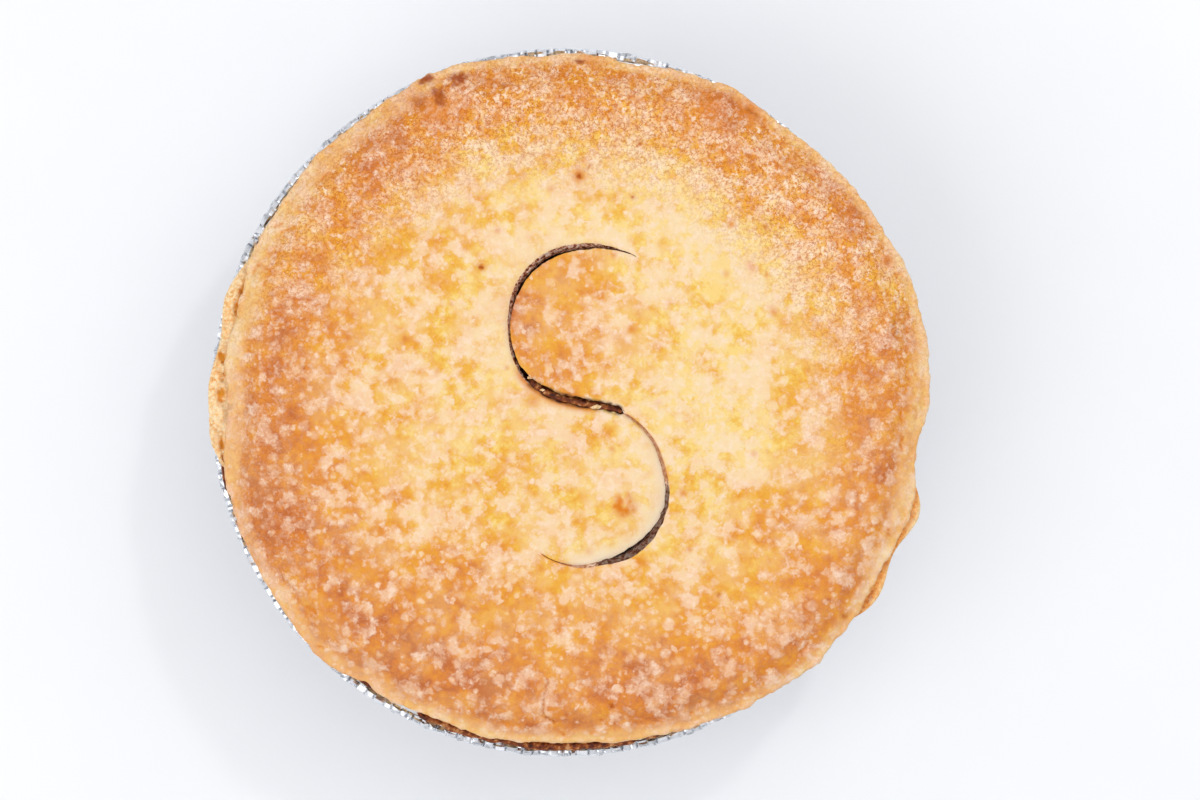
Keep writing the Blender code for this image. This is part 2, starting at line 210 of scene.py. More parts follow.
def lid_outline(angles):
    oval = LID_OVAL * np.cos(2 * (angles - LID_OVAL_TURN))
    return with_lobes(LID_RADIUS + LID_SHIFT * np.cos(angles) + oval, angles, LID_LOBES)


def share_of_lid(points):
    """How far out points lie, from 0 in the middle to 1 at the lid's outline."""
    radius, angles = polar(points)
    return radius / lid_outline(angles)


def angle_window(angles, start, end, fade):
    """1 between two angles in degrees, fading over a few degrees outside them."""
    middle, half = (start + end) / 2, (end - start) / 2
    return 1 - smooth_step(np.abs(degrees_off(angles, middle)), half, half + fade)


def vent_path():
    """Points down the middle of the vent, tip to tip, and the way across it towards +X."""
    half = VENT_BENDS_APART / 2
    first_bend = half * np.array([-math.sin(VENT_LEAN), math.cos(VENT_LEAN)])
    last_turn = 1.5 * math.pi + VENT_LEAN - math.acos(2 * VENT_BEND / VENT_BENDS_APART)
    sweep = last_turn - VENT_TIP
    straight = math.sqrt(VENT_BENDS_APART**2 - 4 * VENT_BEND**2)
    places = np.linspace(0, VENT_BEND * sweep + straight / 2, VENT_STATIONS // 2 + 1)
    turned = np.minimum(places / VENT_BEND, sweep)
    flare = VENT_FLARE * (1 - smooth_step(turned, 0, VENT_FLARE_TURN))
    straight_run = np.maximum(places - VENT_BEND * sweep, 0)
    angles = VENT_TIP + turned
    out = np.column_stack([np.cos(angles), np.sin(angles)])
    along = np.column_stack([-out[:, 1], out[:, 0]])
    upper = first_bend + out * (VENT_BEND + flare)[:, None] + along * straight_run[:, None]
    path = np.vstack([upper, -upper[-2::-1]])
    across = -np.vstack([out, out[-2::-1]])
    shares = np.linspace(0, 1, len(path))
    stray = 0 * shares
    for place, reach, spread in VENT_STRAYS:
        stray += reach * MM * bump(shares, place, spread)
    return np.array(VENT_MIDDLE) + path + across * stray[:, None], across


def vent_width(shares):
    return np.interp(shares, *np.transpose(VENT_OPENINGS)) * MM


def vent_closed(shares):
    """1 where the cut's sides touch under its top, so that it is no more than a line."""
    return np.maximum(between(shares, 0.567, 0.70, 0.008), smooth_step(shares, 0.905, 0.935))


def vent_gravy(shares):
    """1 along the straight run, where gravy has come up to the top of the cut."""
    return between(shares, 0.395, 0.552, 0.008)


def vent_slant(shares):
    """How far the foot of the slit lies to the +X side of its top."""
    fade = smooth_step(np.minimum(shares, 1 - shares), 0, VENT_SLANT_FADE)
    slant = VENT_SLANT * fade * np.clip((0.5 - shares) / VENT_SLANT_FADE, -1, 1)
    return slant - VENT_UNDERCUT * bump(shares, 0.83, 0.08)


def from_vent(points):
    """How far points lie from the vent, + towards +X, and their place from 0 to 1 along it."""
    path, across = vent_path()
    tree = KDTree(len(path))
    for i, (x, y) in enumerate(path):
        tree.insert((x, y, 0), i)
    tree.balance()
    nearest, distance = np.array([tree.find((x, y, 0))[1:] for x, y in points[:, :2]]).T
    nearest = nearest.astype(int)
    side = np.sign(((points[:, :2] - path[nearest]) * across[nearest]).sum(axis=1))
    return side * distance, nearest / (len(path) - 1)


# --- meshes and objects ---


def mesh_of(name, points, faces, **stored):
    """A smooth mesh. It keeps the stored numbers of its points, for its material to read."""
    mesh = bpy.data.meshes.new(name)
    mesh.from_pydata(points.tolist(), [], faces)
    mesh.validate()
    mesh.shade_smooth()
    for name, values in stored.items():
        layer = mesh.attributes.new(name, "FLOAT", "POINT")
        layer.data.foreach_set("value", (values + np.zeros(len(points))).astype(np.float32))
    return mesh


def skin_over(rings):
    """Points and faces over rings of points that are stacked up or out, closed at both ends."""
    points = np.vstack(rings)
    index = np.arange(len(points)).reshape(len(rings), -1)
    low, high = index[:-1], index[1:]
    corners = [low, np.roll(low, -1, axis=1), np.roll(high, -1, axis=1), high]
    faces = np.stack(corners, axis=2).reshape(-1, 4).tolist()
    for row, upward in ((index[0], False), (index[-1], True)):
        middle = len(points)
        points = np.vstack([points, points[row].mean(axis=0)])
        for i, j in zip(row.tolist(), np.roll(row, -1).tolist()):
            faces.append((i, j, middle) if upward else (j, i, middle))
    return points, faces


def turned_body(angles, profile):
    """Points and faces of a round body, from the radii and heights of its profile."""
    return skin_over([ring(angles, radius, height) for radius, height in profile])


def join_shapes(shapes):
    points, faces = [], []
    count = 0
    for some_points, some_faces in shapes:
        points.append(some_points)
        faces += [[i + count for i in face] for face in some_faces]
        count += len(some_points)
    return np.vstack(points), faces


def put_in_scene(name, data):
    thing = bpy.data.objects.new(name, data)
    bpy.context.scene.collection.objects.link(thing)
    return thing


def new_piece(name, mesh, material, node=None):
    mesh.materials.clear()
    mesh.materials.append(material)
    piece = put_in_scene(name, mesh)
    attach(piece, "root")
    if node:
        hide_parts(node)


# --- node building ---

MIX_A, MIX_B = 6, 7  # the inputs for the two colours of a Mix node
MIX_COLOURS = {"data_type": "RGBA", "output": 2}
SMOOTH = {"interpolation_type": "SMOOTHSTEP"}
PASTRY_LOOK = {"IOR": 1.46, "Specular IOR Level": 0.22, "Subsurface Radius": (1.0, 0.55, 0.25)}


def linear(hex_colour):
    """An sRGB hex value as linear red, green, blue and 1."""
    parts = [int(hex_colour[i : i + 2], 16) / 255 for i in (1, 3, 5)]
    return (*[p / 12.92 if p <= 0.04045 else ((p + 0.055) / 1.055) ** 2.4 for p in parts], 1)


def plug(node, inputs):
    """Gives each input of a node a plain value or another node's output."""
    for key, value in inputs.items():
        if isinstance(value, bpy.types.NodeSocket):
            node.id_data.links.new(value, node.inputs[key])
        else:
            node.inputs[key].default_value = value


def add_node(tree, kind, *inputs, output=0, stops=(), numbered=None, **named):
    """Adds a node and returns the output asked for, or with output None the node.

    Its kind can be followed by its operation. Its inputs stand in the node's own order, or under
    their number, or under their name with a capital letter. Names with a small letter are its
    settings.
    """
    kind, *operation = kind.split()
    node = tree.nodes.new(kind if "Node" in kind else "ShaderNode" + kind)
    if operation:
        node.operation = operation[0]
    for name in filter(str.islower, named):
        setattr(node, name, named[name])
    by_name = {name: value for name, value in named.items() if not name.islower()}
    plug(node, {**dict(enumerate(inputs)), **(numbered or {}), **by_name})
    if stops:
        ramp = node.color_ramp
        while len(ramp.elements) < len(stops):
            ramp.elements.new(1)
        for element, (position, hex_colour) in zip(ramp.elements, stops):
            element.position = position
            element.color = linear(hex_colour)
    return node if output is None else node.outputs[output]


def new_material(name):
    """A material, what adds its nodes, its shader, and the place on the object as a socket."""
    material = bpy.data.materials.new(name)
    material.use_nodes = True
    add = partial(add_node, material.node_tree)
    shader = material.node_tree.nodes["Principled BSDF"]
    return material, add, shader, add("TexCoord", output="Object")


def stored_in(add, names):
    """The numbers that the mesh keeps under these names, one socket for each."""
    return [add("Attribute", output="Fac", attribute_name=name) for name in names.split()]


# --- the crust's pattern ---

# Fat melts out of the dough unevenly, so a baked lid is a golden fried ground with pale dry
# blotches. They run together where it is palest and shrink to specks where it is brownest.
BLOTCH_SPACING = 2.5  # mm, from one pale blotch to the next
BLOTCH_RAGGEDNESS = 1.3  # mm that their edges wander
CLUSTER_SPACING = 8.0  # mm, between the places where blotches crowd together
SPECK_SPACINGS = (2.3, 1.4)  # mm
GRAIN_SIZE = 0.5  # mm, flour grain: finer than this doesn't show
WASH_SPACING = 6.0  # mm, from one cream patch of the ground to the next
BUBBLE_SPACING = 0.9  # mm, between the smallest blisters
CRACKLE_SPACING = 1.2  # mm, between the lines where fat has boiled on the surface
# The bright flecks stand for paler blister tops and are also painted highlight, where glints would be.
FLECK_SPACING = 1.0  # mm, between the bright flecks on the tops of the blisters
KNOT_SPACING = 1.3  # mm, between the driest spots inside a pale blotch


def crust_pattern(add, place, browning):
    """How pale each place is, from 0 to 1, the flour grain, and the place in millimetres.

    place is a socket in metres. The same pattern colours the crust and raises its surface.
    """
    in_mm = add("VectorMath SCALE", place, Scale=1000)
    wander = add("TexNoise", in_mm, Scale=1.0, Detail=2.2, Roughness=0.55, output="Color")
    centred = add("VectorMath SUBTRACT", wander, (0.5, 0.5, 0.5))
    moved = add("VectorMath MULTIPLY_ADD", centred, (BLOTCH_RAGGEDNESS,) * 3, in_mm)
    patches = add("TexNoise", moved, Scale=1 / BLOTCH_SPACING, Detail=3, Roughness=0.58)
    clusters = add("TexNoise", moved, Scale=1 / CLUSTER_SPACING, Detail=1, Roughness=0.5)
    patches = add("Math MULTIPLY_ADD", clusters, 0.4, patches)
    limit = add("MapRange", browning, 0.1, 0.9, 0.675, 0.795)
    above = add("Math SUBTRACT", patches, limit)
    pale = add("MapRange", above, -0.085, 0.12, **SMOOTH)
    for spacing in SPECK_SPACINGS:
        cells = add("TexVoronoi", moved, Scale=1 / spacing, output=None).outputs
        chance = add("SeparateXYZ", cells["Color"], output=None).outputs
        reach = add("MapRange", chance[0], 0.3, 1, 0, 0.5)
        inside = add("Math SUBTRACT", reach, cells["Distance"])
        speck = add("MapRange", inside, -0.16, 0.2, **SMOOTH)
        faint = add("MapRange", chance[1], 0, 1, 0.35, 1.0)
        speck = add("Math MULTIPLY", speck, faint)
        pale = add("Math MAXIMUM", pale, speck)
    grain = add("TexNoise", in_mm, Scale=1 / GRAIN_SIZE, Detail=2, Roughness=0.55)
    return pale, grain, in_mm


def baked_shortcrust():
    """Shortcrust, rolled, glazed and baked: fried gold, dry pale blotches, red-brown at the rim.

    Flour and fat give the eye a soft dull surface with a faint sheen where the fat has fried it.
    """
    material, add, shader, place = new_material("shortcrust, rolled and baked")
    browning, cut, soaked, scorch, smoothness, bubbled, stain, pressed = stored_in(
        add, "browning cut soaked scorch smoothness bubbled stain pressed"
    )
    pale, grain, in_mm = crust_pattern(add, place, browning)
    drift = add("TexNoise", in_mm, Scale=0.25, Detail=5, Roughness=0.62)
    fine = add("TexNoise", in_mm, Scale=1.9, Detail=3, Roughness=0.7)
    bubbles = add("TexVoronoi", in_mm, Scale=1 / BUBBLE_SPACING)

    # How brown: the stored browning, which carries some painted shade, drifting and lumpy.
    drifted = add("Math MULTIPLY_ADD", drift, 1.4, browning)
    browned_and_shaded = add("Math SUBTRACT", drifted, 0.68)
    lumpy = add("TexNoise", in_mm, Scale=0.8, Detail=3, Roughness=0.65)
    lumpy = add("Math SUBTRACT", lumpy, 0.5)
    uneven = add("MapRange", pressed, 0, 1, 0.5, 1.1)
    lumpy = add("Math MULTIPLY", lumpy, uneven)
    browned_and_shaded = add("Math MULTIPLY_ADD", lumpy, 1.5, browned_and_shaded)

    # The fried ground, with cream washes where it is least brown and flour on the pressed edge.
    fried_colours = (
        (0.0, "#F2D07E"), (0.12, "#EDBF58"), (0.28, "#E9AB3C"), (0.48, "#E59B33"),
        (0.66, "#DE8D36"), (0.84, "#D27D39"), (1.0, "#BE6832"),
    )
    ground = add("ValToRGB", browned_and_shaded, stops=fried_colours)
    wash = add("TexNoise", in_mm, Scale=1 / WASH_SPACING, Detail=3.5, Roughness=0.6)
    wash = add("MapRange", wash, 0.42, 0.62, 0, 0.6, **SMOOTH)
    unbrowned = add("MapRange", browning, 0.15, 0.75, 1, 0.2)
    wash = add("Math MULTIPLY", wash, unbrowned)
    floured = add("Math MULTIPLY", pressed, 0.5)
    for thick, colour in ((wash, "#F2D292"), (floured, "#EFBC84")):
        ground = add("Mix", thick, numbered={MIX_A: ground, MIX_B: linear(colour)}, **MIX_COLOURS)

    # The dry blotches, which are faint where the crust is smooth or pressed, and their knots.
    dry_colours = (
        (0.0, "#F1D8AF"), (0.3, "#F2D3A8"), (0.6, "#F1CAA2"), (0.85, "#EDC19C"), (1.0, "#E9B996"),
    )
    dry = add("ValToRGB", browned_and_shaded, stops=dry_colours)
    softened = add("MapRange", grain, 0.25, 0.75, 0.78, 1.0)
    cover = add("Math MULTIPLY", pale, softened)
    for mark, left in ((smoothness, 0.2), (pressed, 0.8)):
        less = add("MapRange", mark, 0, 1, 1, left)
        cover = add("Math MULTIPLY", cover, less)
    knots = add("TexNoise", in_mm, Scale=1 / KNOT_SPACING, Detail=2, Roughness=0.6)
    knots = add("MapRange", knots, 0.48, 0.68, 0, 0.7, **SMOOTH)
    knots = add("Math MULTIPLY", knots, cover)

    # Where fat has boiled: winding fried lines, orange gaps that also darken as painted shade where the
    # relief dips, and bright tops of small blisters that are also painted highlight.
    boiled = add("TexNoise", in_mm, Scale=1 / CRACKLE_SPACING, Detail=2.5, Roughness=0.6)
    off_line = add("Math SUBTRACT", boiled, 0.5)
    off_line = add("Math ABSOLUTE", off_line)
    crackle = add("MapRange", off_line, 0.0, 0.045, 1, 0, **SMOOTH)
    crackle = add("Math MULTIPLY", crackle, bubbled)
    crackle = add("Math MULTIPLY", crackle, 0.85)
    # Painted shade: the gaps turn a deeper orange-brown where the fine relief dips.
    fried_and_shaded_gaps = add("MapRange", fine, 0.49, 0.36, 0, 0.7)
    fried_and_shaded_gaps = add("Math MULTIPLY", fried_and_shaded_gaps, bubbled)
    # Painted highlight: bright flecks on the tops of the blisters, as well as their paler dry tops.
    tops_and_glints = add("TexNoise", in_mm, Scale=1 / FLECK_SPACING, Detail=3, Roughness=0.65)
    tops_and_glints = add("MapRange", tops_and_glints, 0.53, 0.63, 0, 0.85, **SMOOTH)
    tops_and_glints = add("Math MULTIPLY", tops_and_glints, bubbled)
    crowded = add("MapRange", drift, 0.38, 0.6, 1.0, 0.3)
    tops_and_glints = add("Math MULTIPLY", tops_and_glints, crowded)

    torn = add("TexNoise", in_mm, Scale=1.5, Detail=3, Roughness=0.7)
    torn_colours = ((0.38, "#5A2412"), (0.46, "#B87450"), (0.53, "#F0BE9E"), (0.6, "#FFF2E4"))
    crumb = add("ValToRGB", torn, stops=torn_colours)
    crust = ground
    # Layers over the ground: the gaps are partly painted shade and the bright tops partly painted
    # highlight; the soaked colour is gravy and painted shade down the vent's walls, and the scorch
    # colour is also painted shade where the cut has closed.
    for thick, colour in (
        (cover, dry), (knots, linear("#F6DCC4")), (crackle, linear("#C8660F")),
        (fried_and_shaded_gaps, linear("#CA6C14")), (tops_and_glints, linear("#FCE6CC")), (stain, linear("#DB7C08")),
        (smoothness, linear("#F2E0C4")), (scorch, linear("#96380A")), (cut, crumb),
        (soaked, linear("#38130A")),
    ):
        crust = add("Mix", thick, numbered={MIX_A: crust, MIX_B: colour}, **MIX_COLOURS)
    contrast = add("MapRange", bubbled, 0, 1, 0.1, 0.5)
    off_middle = add("Math SUBTRACT", fine, 0.5)
    shade = add("Math MULTIPLY_ADD", off_middle, contrast, 1.0)
    grained = add("VectorMath SCALE", crust, Scale=shade)

    sheen = add("MapRange", pale, 0, 1, 0.4, 0.62)
    glossy = add("Math MULTIPLY_ADD", bubbled, -0.06, sheen)
    raised = add("Math MULTIPLY_ADD", grain, 0.6, fine)
    popped = add("Math MULTIPLY", bubbles, bubbled)
    raised = add("Math MULTIPLY_ADD", popped, -0.3, raised)
    crisp = add("MapRange", bubbled, 0, 1, 0.3, 0.5)
    raised = add("Math MULTIPLY", raised, crisp)
    relief = add("Bump", Strength=1.0, Distance=0.22 * MM, Height=raised)
    plug(shader, {"Base Color": grained, "Roughness": glossy, "Normal": relief})
    plug(shader, {"Subsurface Weight": 0.08, "Subsurface Scale": 0.4 * MM, **PASTRY_LOOK})
    return material


def raise_crust(mesh):
    """Lifts the dry blotches and the grain of the crust by the same pattern that colours it."""
    tree = bpy.data.node_groups.new("crust relief", "GeometryNodeTree")
    add = partial(add_node, tree)
    for way in ("INPUT", "OUTPUT"):
        tree.interface.new_socket("Geometry", in_out=way, socket_type="NodeSocketGeometry")
    place = add("GeometryNodeInputPosition")
    normal = add("GeometryNodeInputNormal")
    browning = add("GeometryNodeInputNamedAttribute", Name="browning")
    height = add("GeometryNodeInputNamedAttribute", Name="relief")
    pale, grain, in_mm = crust_pattern(add, place, browning)
    lumps = add("TexNoise", in_mm, Scale=0.6, Detail=3, Roughness=0.6)
    coarse = add("Math MULTIPLY_ADD", lumps, 2.4, pale)
    both = add("Math MULTIPLY_ADD", grain, 0.5, coarse)
    centred = add("Math SUBTRACT", both, 1.85)
    lift = add("Math MULTIPLY", centred, height)
    offset = add("VectorMath SCALE", normal, Scale=lift)
    moved = add("GeometryNodeSetPosition", add("NodeGroupInput"), Offset=offset)
    add("NodeGroupOutput", moved, output=None)

    carrier = put_in_scene("crust relief", mesh)
    carrier.modifiers.new("relief", "NODES").node_group = tree
    shape = carrier.evaluated_get(bpy.context.evaluated_depsgraph_get())
    raised = bpy.data.meshes.new_from_object(shape)
    bpy.data.objects.remove(carrier)
    return raised


# --- pastry lid ---

LID_GRAIN = 0.45 * MM  # from point to point over the lid's top
LID_SEGMENTS = 900
LID_SIDE_ROWS = 9
INNER_RIM_SHARE = 0.9785  # a row of points just inside the rim
GRAINS_SHARE = 0.9735
UNDERSIDE_GRAIN = 7 * MM
UNDERSIDE_CLEAR = 4 * MM
VENT_WALL_ROWS = 13
VENT_ROWS = (0.14 * MM, 0.32 * MM, 0.55 * MM, 0.82 * MM)  # rows of points beside the slit
VENT_CLEAR = VENT_ROWS[-1] + 0.35 * MM  # from the cut's side to the next points
# How far down its walls the cut stays dry and lit before the soaked colour, gravy together with painted
# shade, takes over: the place from tip to tip, the share of the depth.
VENT_DRY_AND_LIT = (
    (0.0, 1.2), (0.08, 0.85), (0.25, 0.36), (0.37, 0.12), (0.40, -0.2), (0.55, -0.2), (0.57, 0.7),
    (1.0, 0.8),
)

# Marks on the lid, each where it lies from the tray's axis.
BLISTERS = (  # x, y, radius, height, and how much of it is a ring
    (10.7, -18.1, 1.7, 0.6, 0.3), (40.2, -11.9, 3.6, 0.22, 1.0), (11.9, 9.8, 1.0, 0.2, 1.0),
    (27.5, 54.8, 2.6, 0.8, 0.0), (48.0, 22.0, 2.4, 0.25, 0.4), (-33.0, 28.0, 3.2, 0.2, 0.6),
)
PITS = (  # x, y, radius, depth, how dark
    (-14.7, 23.9, 0.32, 0.9, 1.0), (2.6, 40.0, 0.42, 0.7, 0.8), (13.4, 45.8, 0.35, 0.5, 0.5),
    (12.1, 36.3, 0.3, 0.4, 0.45), (27.3, -34.0, 0.35, 0.4, 0.4), (49.6, -37.9, 0.45, 0.5, 0.6),
    (8.4, -53.6, 0.5, 0.5, 0.8), (-46.0, 6.0, 0.4, 0.4, 0.4), (35.5, 31.0, 0.4, 0.45, 0.4),
)
CRACKS = (  # points along it, half width, depth, how dark
    (((-2.9, -49.0), (-3.5, -52.0), (-3.8, -55.2), (-1.6, -56.6)), 0.22, 0.6, 0.55),
    (((-50.2, -30.5), (-49.3, -31.6), (-47.6, -33.1)), 0.2, 0.6, 0.55),
    (((-7.6, 42.6), (-7.0, 43.9)), 0.16, 0.4, 0.4),
    (((3.6, 41.0), (4.6, 41.8)), 0.16, 0.4, 0.4),
    (((32.0, 44.0), (33.5, 42.5), (33.2, 40.5)), 0.18, 0.4, 0.35),
)
RIM_FISSURES = 46
FRIED_SPOTS = 70
FRIED_SPOTS_RADIUS = 57
SCORCHES = (  # x, y, radius along and across the rim, strength
    (-24.7, 57.2, 1.6, 1.0, 0.9), (-19.0, 57.2, 2.3, 1.2, 0.85), (-22.3, 54.2, 1.3, 2.0, 0.75),
    (-25.6, 53.6, 1.8, 1.3, 0.4), (33.1, 51.6, 1.7, 0.5, 0.4), (2.6, 60.4, 1.2, 0.5, 0.9),
    (57.0, 25.0, 0.8, 0.5, 0.4), (-10.6, 55.9, 1.0, 0.6, 0.4), (-13.9, 54.4, 0.8, 0.5, 0.35),
    (58.4, 13.0, 1.8, 0.7, 0.35), (-59.3, -1.0, 1.2, 0.6, 0.3),
)
STAINS = (  # spots fried orange: x, y, radius, strength, how far out of it it is strongest
    (10.7, -18.1, 1.7, 0.85, 0.7), (12.2, -19.0, 0.7, 0.8, 0.0), (-23.0, 52.5, 3.2, 0.6, 0.0),
    (33.1, 51.6, 2.2, 0.8, 0.0), (25.6, 52.4, 2.4, 0.6, 0.0), (57.0, 25.0, 1.3, 0.7, 0.0),
    (4.4, 60.6, 2.2, 0.45, 0.0), (13.4, -28.0, 0.8, 0.9, 0.0), (21.0, -16.0, 0.7, 0.7, 0.0),
    (52.5, -5.2, 0.9, 0.8, 0.0), (54.8, -16.7, 0.8, 0.6, 0.0), (2.6, 40.0, 1.3, 0.8, 0.0),
    (-5.5, 0.8, 1.6, 0.6, 0.0), (33.0, 24.0, 0.8, 0.7, 0.0), (29.5, 31.5, 0.7, 0.7, 0.0),
    (37.0, 16.0, 0.9, 0.6, 0.0),
)
TONES = (  # patches that the oven left browner or paler than the rest: x, y, radius, how much
    (6, -4, 6, 0.16), (8, 13, 8, 0.26), (36, -20, 7, 0.2), (34, -7, 5, -0.2), (-8, 15, 3, 0.25),
    (27, 52, 5, 0.4), (52, 34, 4, 0.18), (56, -12, 6, 0.2), (-59, 11, 6, -0.55),
    (-56, 22, 5, -0.35), (-58, -12, 4, -0.2), (57, 21, 5, -0.3), (-46, 31, 9, -0.28),
    (31, 27, 13, -0.3), (-9, 45, 10, -0.3), (16, 43, 10, -0.25), (56, 13, 4, 0.18),
    (-48, -33, 6, -0.22), (-2, -48, 6, -0.2), (21, -55, 5, 0.18), (-36, -20, 8, 0.17),
)


def lid_top(points, share, away, place):
    """The height of the lid's top: the pressed edge, the risen shoulder and the sunken middle."""
    height = LID_BOTTOM + EDGE_THICKNESS - EDGE_ROUNDING * smooth_step(share, *ROUNDING_SHARES)
    pressed = share + 0.014 * roughness_at(points, 7, 9, 3)
    height += (SHOULDER_THICKNESS - EDGE_THICKNESS) * smooth_step(pressed, *SHOULDER_OUTER_SHARES)
    height -= (SHOULDER_THICKNESS - MIDDLE_THICKNESS) * smooth_step(share, *SHOULDER_INNER_SHARES)
    lift = VENT_LIFT * smooth_step(np.minimum(place, 1 - place), 0, VENT_LIFT_FADE)
    return height + lift * np.sign(away) * bump(away, 0, VENT_LIFT_REACH)


def rim_fissures():
    """Short fissures in the lumpy pastry of the lid's edge: more cracks."""
    chance = np.random.default_rng(7)
    found = []
    for _ in range(RIM_FISSURES):
        angle = chance.uniform(0, 2 * math.pi)
        share = chance.uniform(0.925, 0.975)
        heading = angle + math.pi / 2 + chance.uniform(-0.9, 0.9)
        middle = share * lid_outline(np.array([angle]))[0] / MM * np.exp(1j * angle)
        length = chance.uniform(0.8, 2.6)
        bend = chance.uniform(-0.25, 0.25) * length * np.exp(1j * (heading + math.pi / 2))
        run = length / 2 * np.exp(1j * heading)
        line = [(p.real, p.imag) for p in (middle - run, middle + bend, middle + run)]
        half, depth = chance.uniform(0.14, 0.26), chance.uniform(0.25, 0.6)
        found.append((line, half, depth, chance.uniform(0.4, 1.0)))
    return found


def fried_spots():
    """Small spots where fat pooled and fried the crust orange: more stains."""
    chance = np.random.default_rng(17)
    found = []
    for _ in range(FRIED_SPOTS):
        out = FRIED_SPOTS_RADIUS * math.sqrt(chance.uniform())
        place = out * np.exp(1j * chance.uniform(0, 2 * math.pi))
        radius, strength = chance.uniform(0.35, 0.8), chance.uniform(0.2, 0.7)
        found.append((place.real, place.imag, radius, strength, 0.0))
    return found


def distance_to_line(points, line):
    """The distance from points to a line of joined points."""
    best = np.full(len(points), 1.0)
    for start, end in zip(line, line[1:]):
        run = end - start
        share = np.clip(((points - start) @ run) / (run @ run), 0, 1)
        offset = points - start - share[:, None] * run
        best = np.minimum(best, np.hypot(offset[:, 0], offset[:, 1]))
    return best


def marks_on(points):
    """What blisters, pits and cracks add to the top's height, how dark and how fried they are."""
    height, dark, fried = np.zeros((3, len(points)))
    wobble = 1 + 0.25 * roughness_at(points, 1.6, 5)
    ridges = 1 - 2 * np.abs(roughness_at(points, 0.9, 6, 2))
    for x, y, radius, rise, hollow in BLISTERS:
        reach = reach_from(points, x, y, radius) * wobble
        dome = 1 - smooth_step(reach, 0.35, 1.15)
        wall = bump(reach, 0.85, 0.28)
        height += rise * MM * ((1 - hollow) * dome * (0.6 + 0.5 * ridges) + hollow * wall)
    for x, y, radius, depth, shade in PITS:
        reach = reach_from(points, x, y, radius)
        height -= depth * MM * bump(reach)
        dark = np.maximum(dark, 2 * shade * bump(reach))
        fried = np.maximum(fried, 0.8 * shade * bump(reach, 0, 2.4))
    wander = 0.18 * MM * roughness_at(points, 0.9, 8, 2)
    for marks, shades in ((CRACKS, dark), (rim_fissures(), fried)):
        for line, half, depth, shade in marks:
            away = distance_to_line(points[:, :2] + wander[:, None], np.array(line) * MM)
            reach = away / (half * MM)
            height -= depth * MM * bump(reach)
            shades[:] = np.maximum(shades, shade * bump(reach, 0, 1.1))
    return height, 0.5 * dark, np.maximum(fried, dark)


def scorched(points, angles):
    """How burnt the lid is where it rose nearest to the oven's top, in ragged spots."""
    burnt = np.zeros(len(points))
    patchy = 1.0 + 1.1 * roughness_at(points, 0.9, 61, 3)
    for x, y, along, deep, strength in SCORCHES:
        round_rim = (angles - math.atan2(y, x)) * math.hypot(x, y) * MM / (along * MM)
        across = (polar(points)[0] - math.hypot(x, y) * MM) / (deep * MM)
        spot = smooth_step(patchy * np.exp(-(round_rim**2) - across**2), 0.25, 0.75)
        burnt = np.maximum(burnt, strength * spot)
    return burnt


def stained(points):
    """How orange the spots are where fat has fried the crust."""
    orange = np.zeros(len(points))
    ragged = 1 + 0.3 * roughness_at(points, 1.3, 64, 2)
    rough = roughness_at(points, 0.8, 62, 2)
    for x, y, radius, strength, middle in [*STAINS, *fried_spots()]:
        reach = reach_from(points, x, y, radius) * ragged
        patchy = 1.0 - 0.2 * middle + (0.5 + 1.1 * middle) * rough
        orange = np.maximum(orange, strength * patchy * bump(reach, middle, 1 - 0.6 * middle))
    return orange


def narrow_edge(angles):
    """1 where the lid's pale pressed edge is narrowest, which is on the far side."""
    near_side = 0.6 * angle_window(angles, 195, 285, 8)
    lower_right = 0.75 * angle_window(angles, 298, 335, 6)
    return np.maximum(angle_window(angles, 12, 108, 8), np.maximum(near_side, lower_right))


def browning_and_side_shade(points, share, away, place):
    """How brown each place is: least in the middle, most inside the pressed edge, and partly painted
    shade towards the lower left.
    """
    angles = polar(points)[1]
    brown = 0.2 + 0.16 * smooth_step(share, 0.45, 0.78) + 0.29 * smooth_step(share, 0.68, 0.88)
    narrow = narrow_edge(angles)
    edge = smooth_step(share, 0.925 + 0.035 * narrow, 0.985 + 0.008 * narrow)
    brown -= (0.36 - 0.2 * angle_window(angles, 198, 300, 12)) * edge
    brown -= 0.3 * angle_window(angles, 243, 290, 5) * smooth_step(share, 0.972, 0.985)
    brown += 0.17 * angle_window(angles, 235, 288, 18) * between(share, 0.55, 0.78, 0.14)
    wander = [2.2 * MM * roughness_at(points, 5, seed, 2) for seed in (22, 23)]
    for x, y, radius, amount in TONES:
        reach = reach_from(points[:, :2] + np.transpose(wander), x, y, radius)
        brown += amount * bump(reach)
    # Browner away from 40 degrees, most at the lower left: partly browning, partly painted shade on the
    # side turned from the key light.
    far_side = 0.5 - 0.5 * np.cos(angles - math.radians(40))
    brown += 0.17 * far_side * smooth_step(share, 0.15, 0.6)
    brown += 0.12 * angle_window(angles, 172, 200, 20) * smooth_step(share, 0.6, 0.85)
    brown -= 0.2 * bump(reach_from(points, 27, -1, 11))
    brown += 0.09 * roughness_at(points, 14, 21, 3)
    upper = 1 - smooth_step(place, 0.42, 0.56)
    brown += 0.4 * upper * (away > 0) * bump(away, 0, 15 * MM) * smooth_step(place, 0.0, 0.1)
    return brown - 0.1 * (away < 0) * bump(away, 0, 4 * MM)


def rolled_edge(away, place):
    """1 on the edge of the lower tongue, which was pressed down smooth beside the slit."""
    along = smooth_step(place, 0.58, 0.68) * (1 - smooth_step(place, 0.93, 0.98))
    return along * (away < 0) * bump(away, 0, 2.4 * MM)


def pressed_smooth(away, place):
    """How smooth and pale the cutter left the outer side of the upper bend."""
    along = smooth_step(place, 0.05, 0.12) * (1 - smooth_step(place, 0.32, 0.38))
    return 0.45 * along * (away < 0) * bump(away, 0, 3.0 * MM)


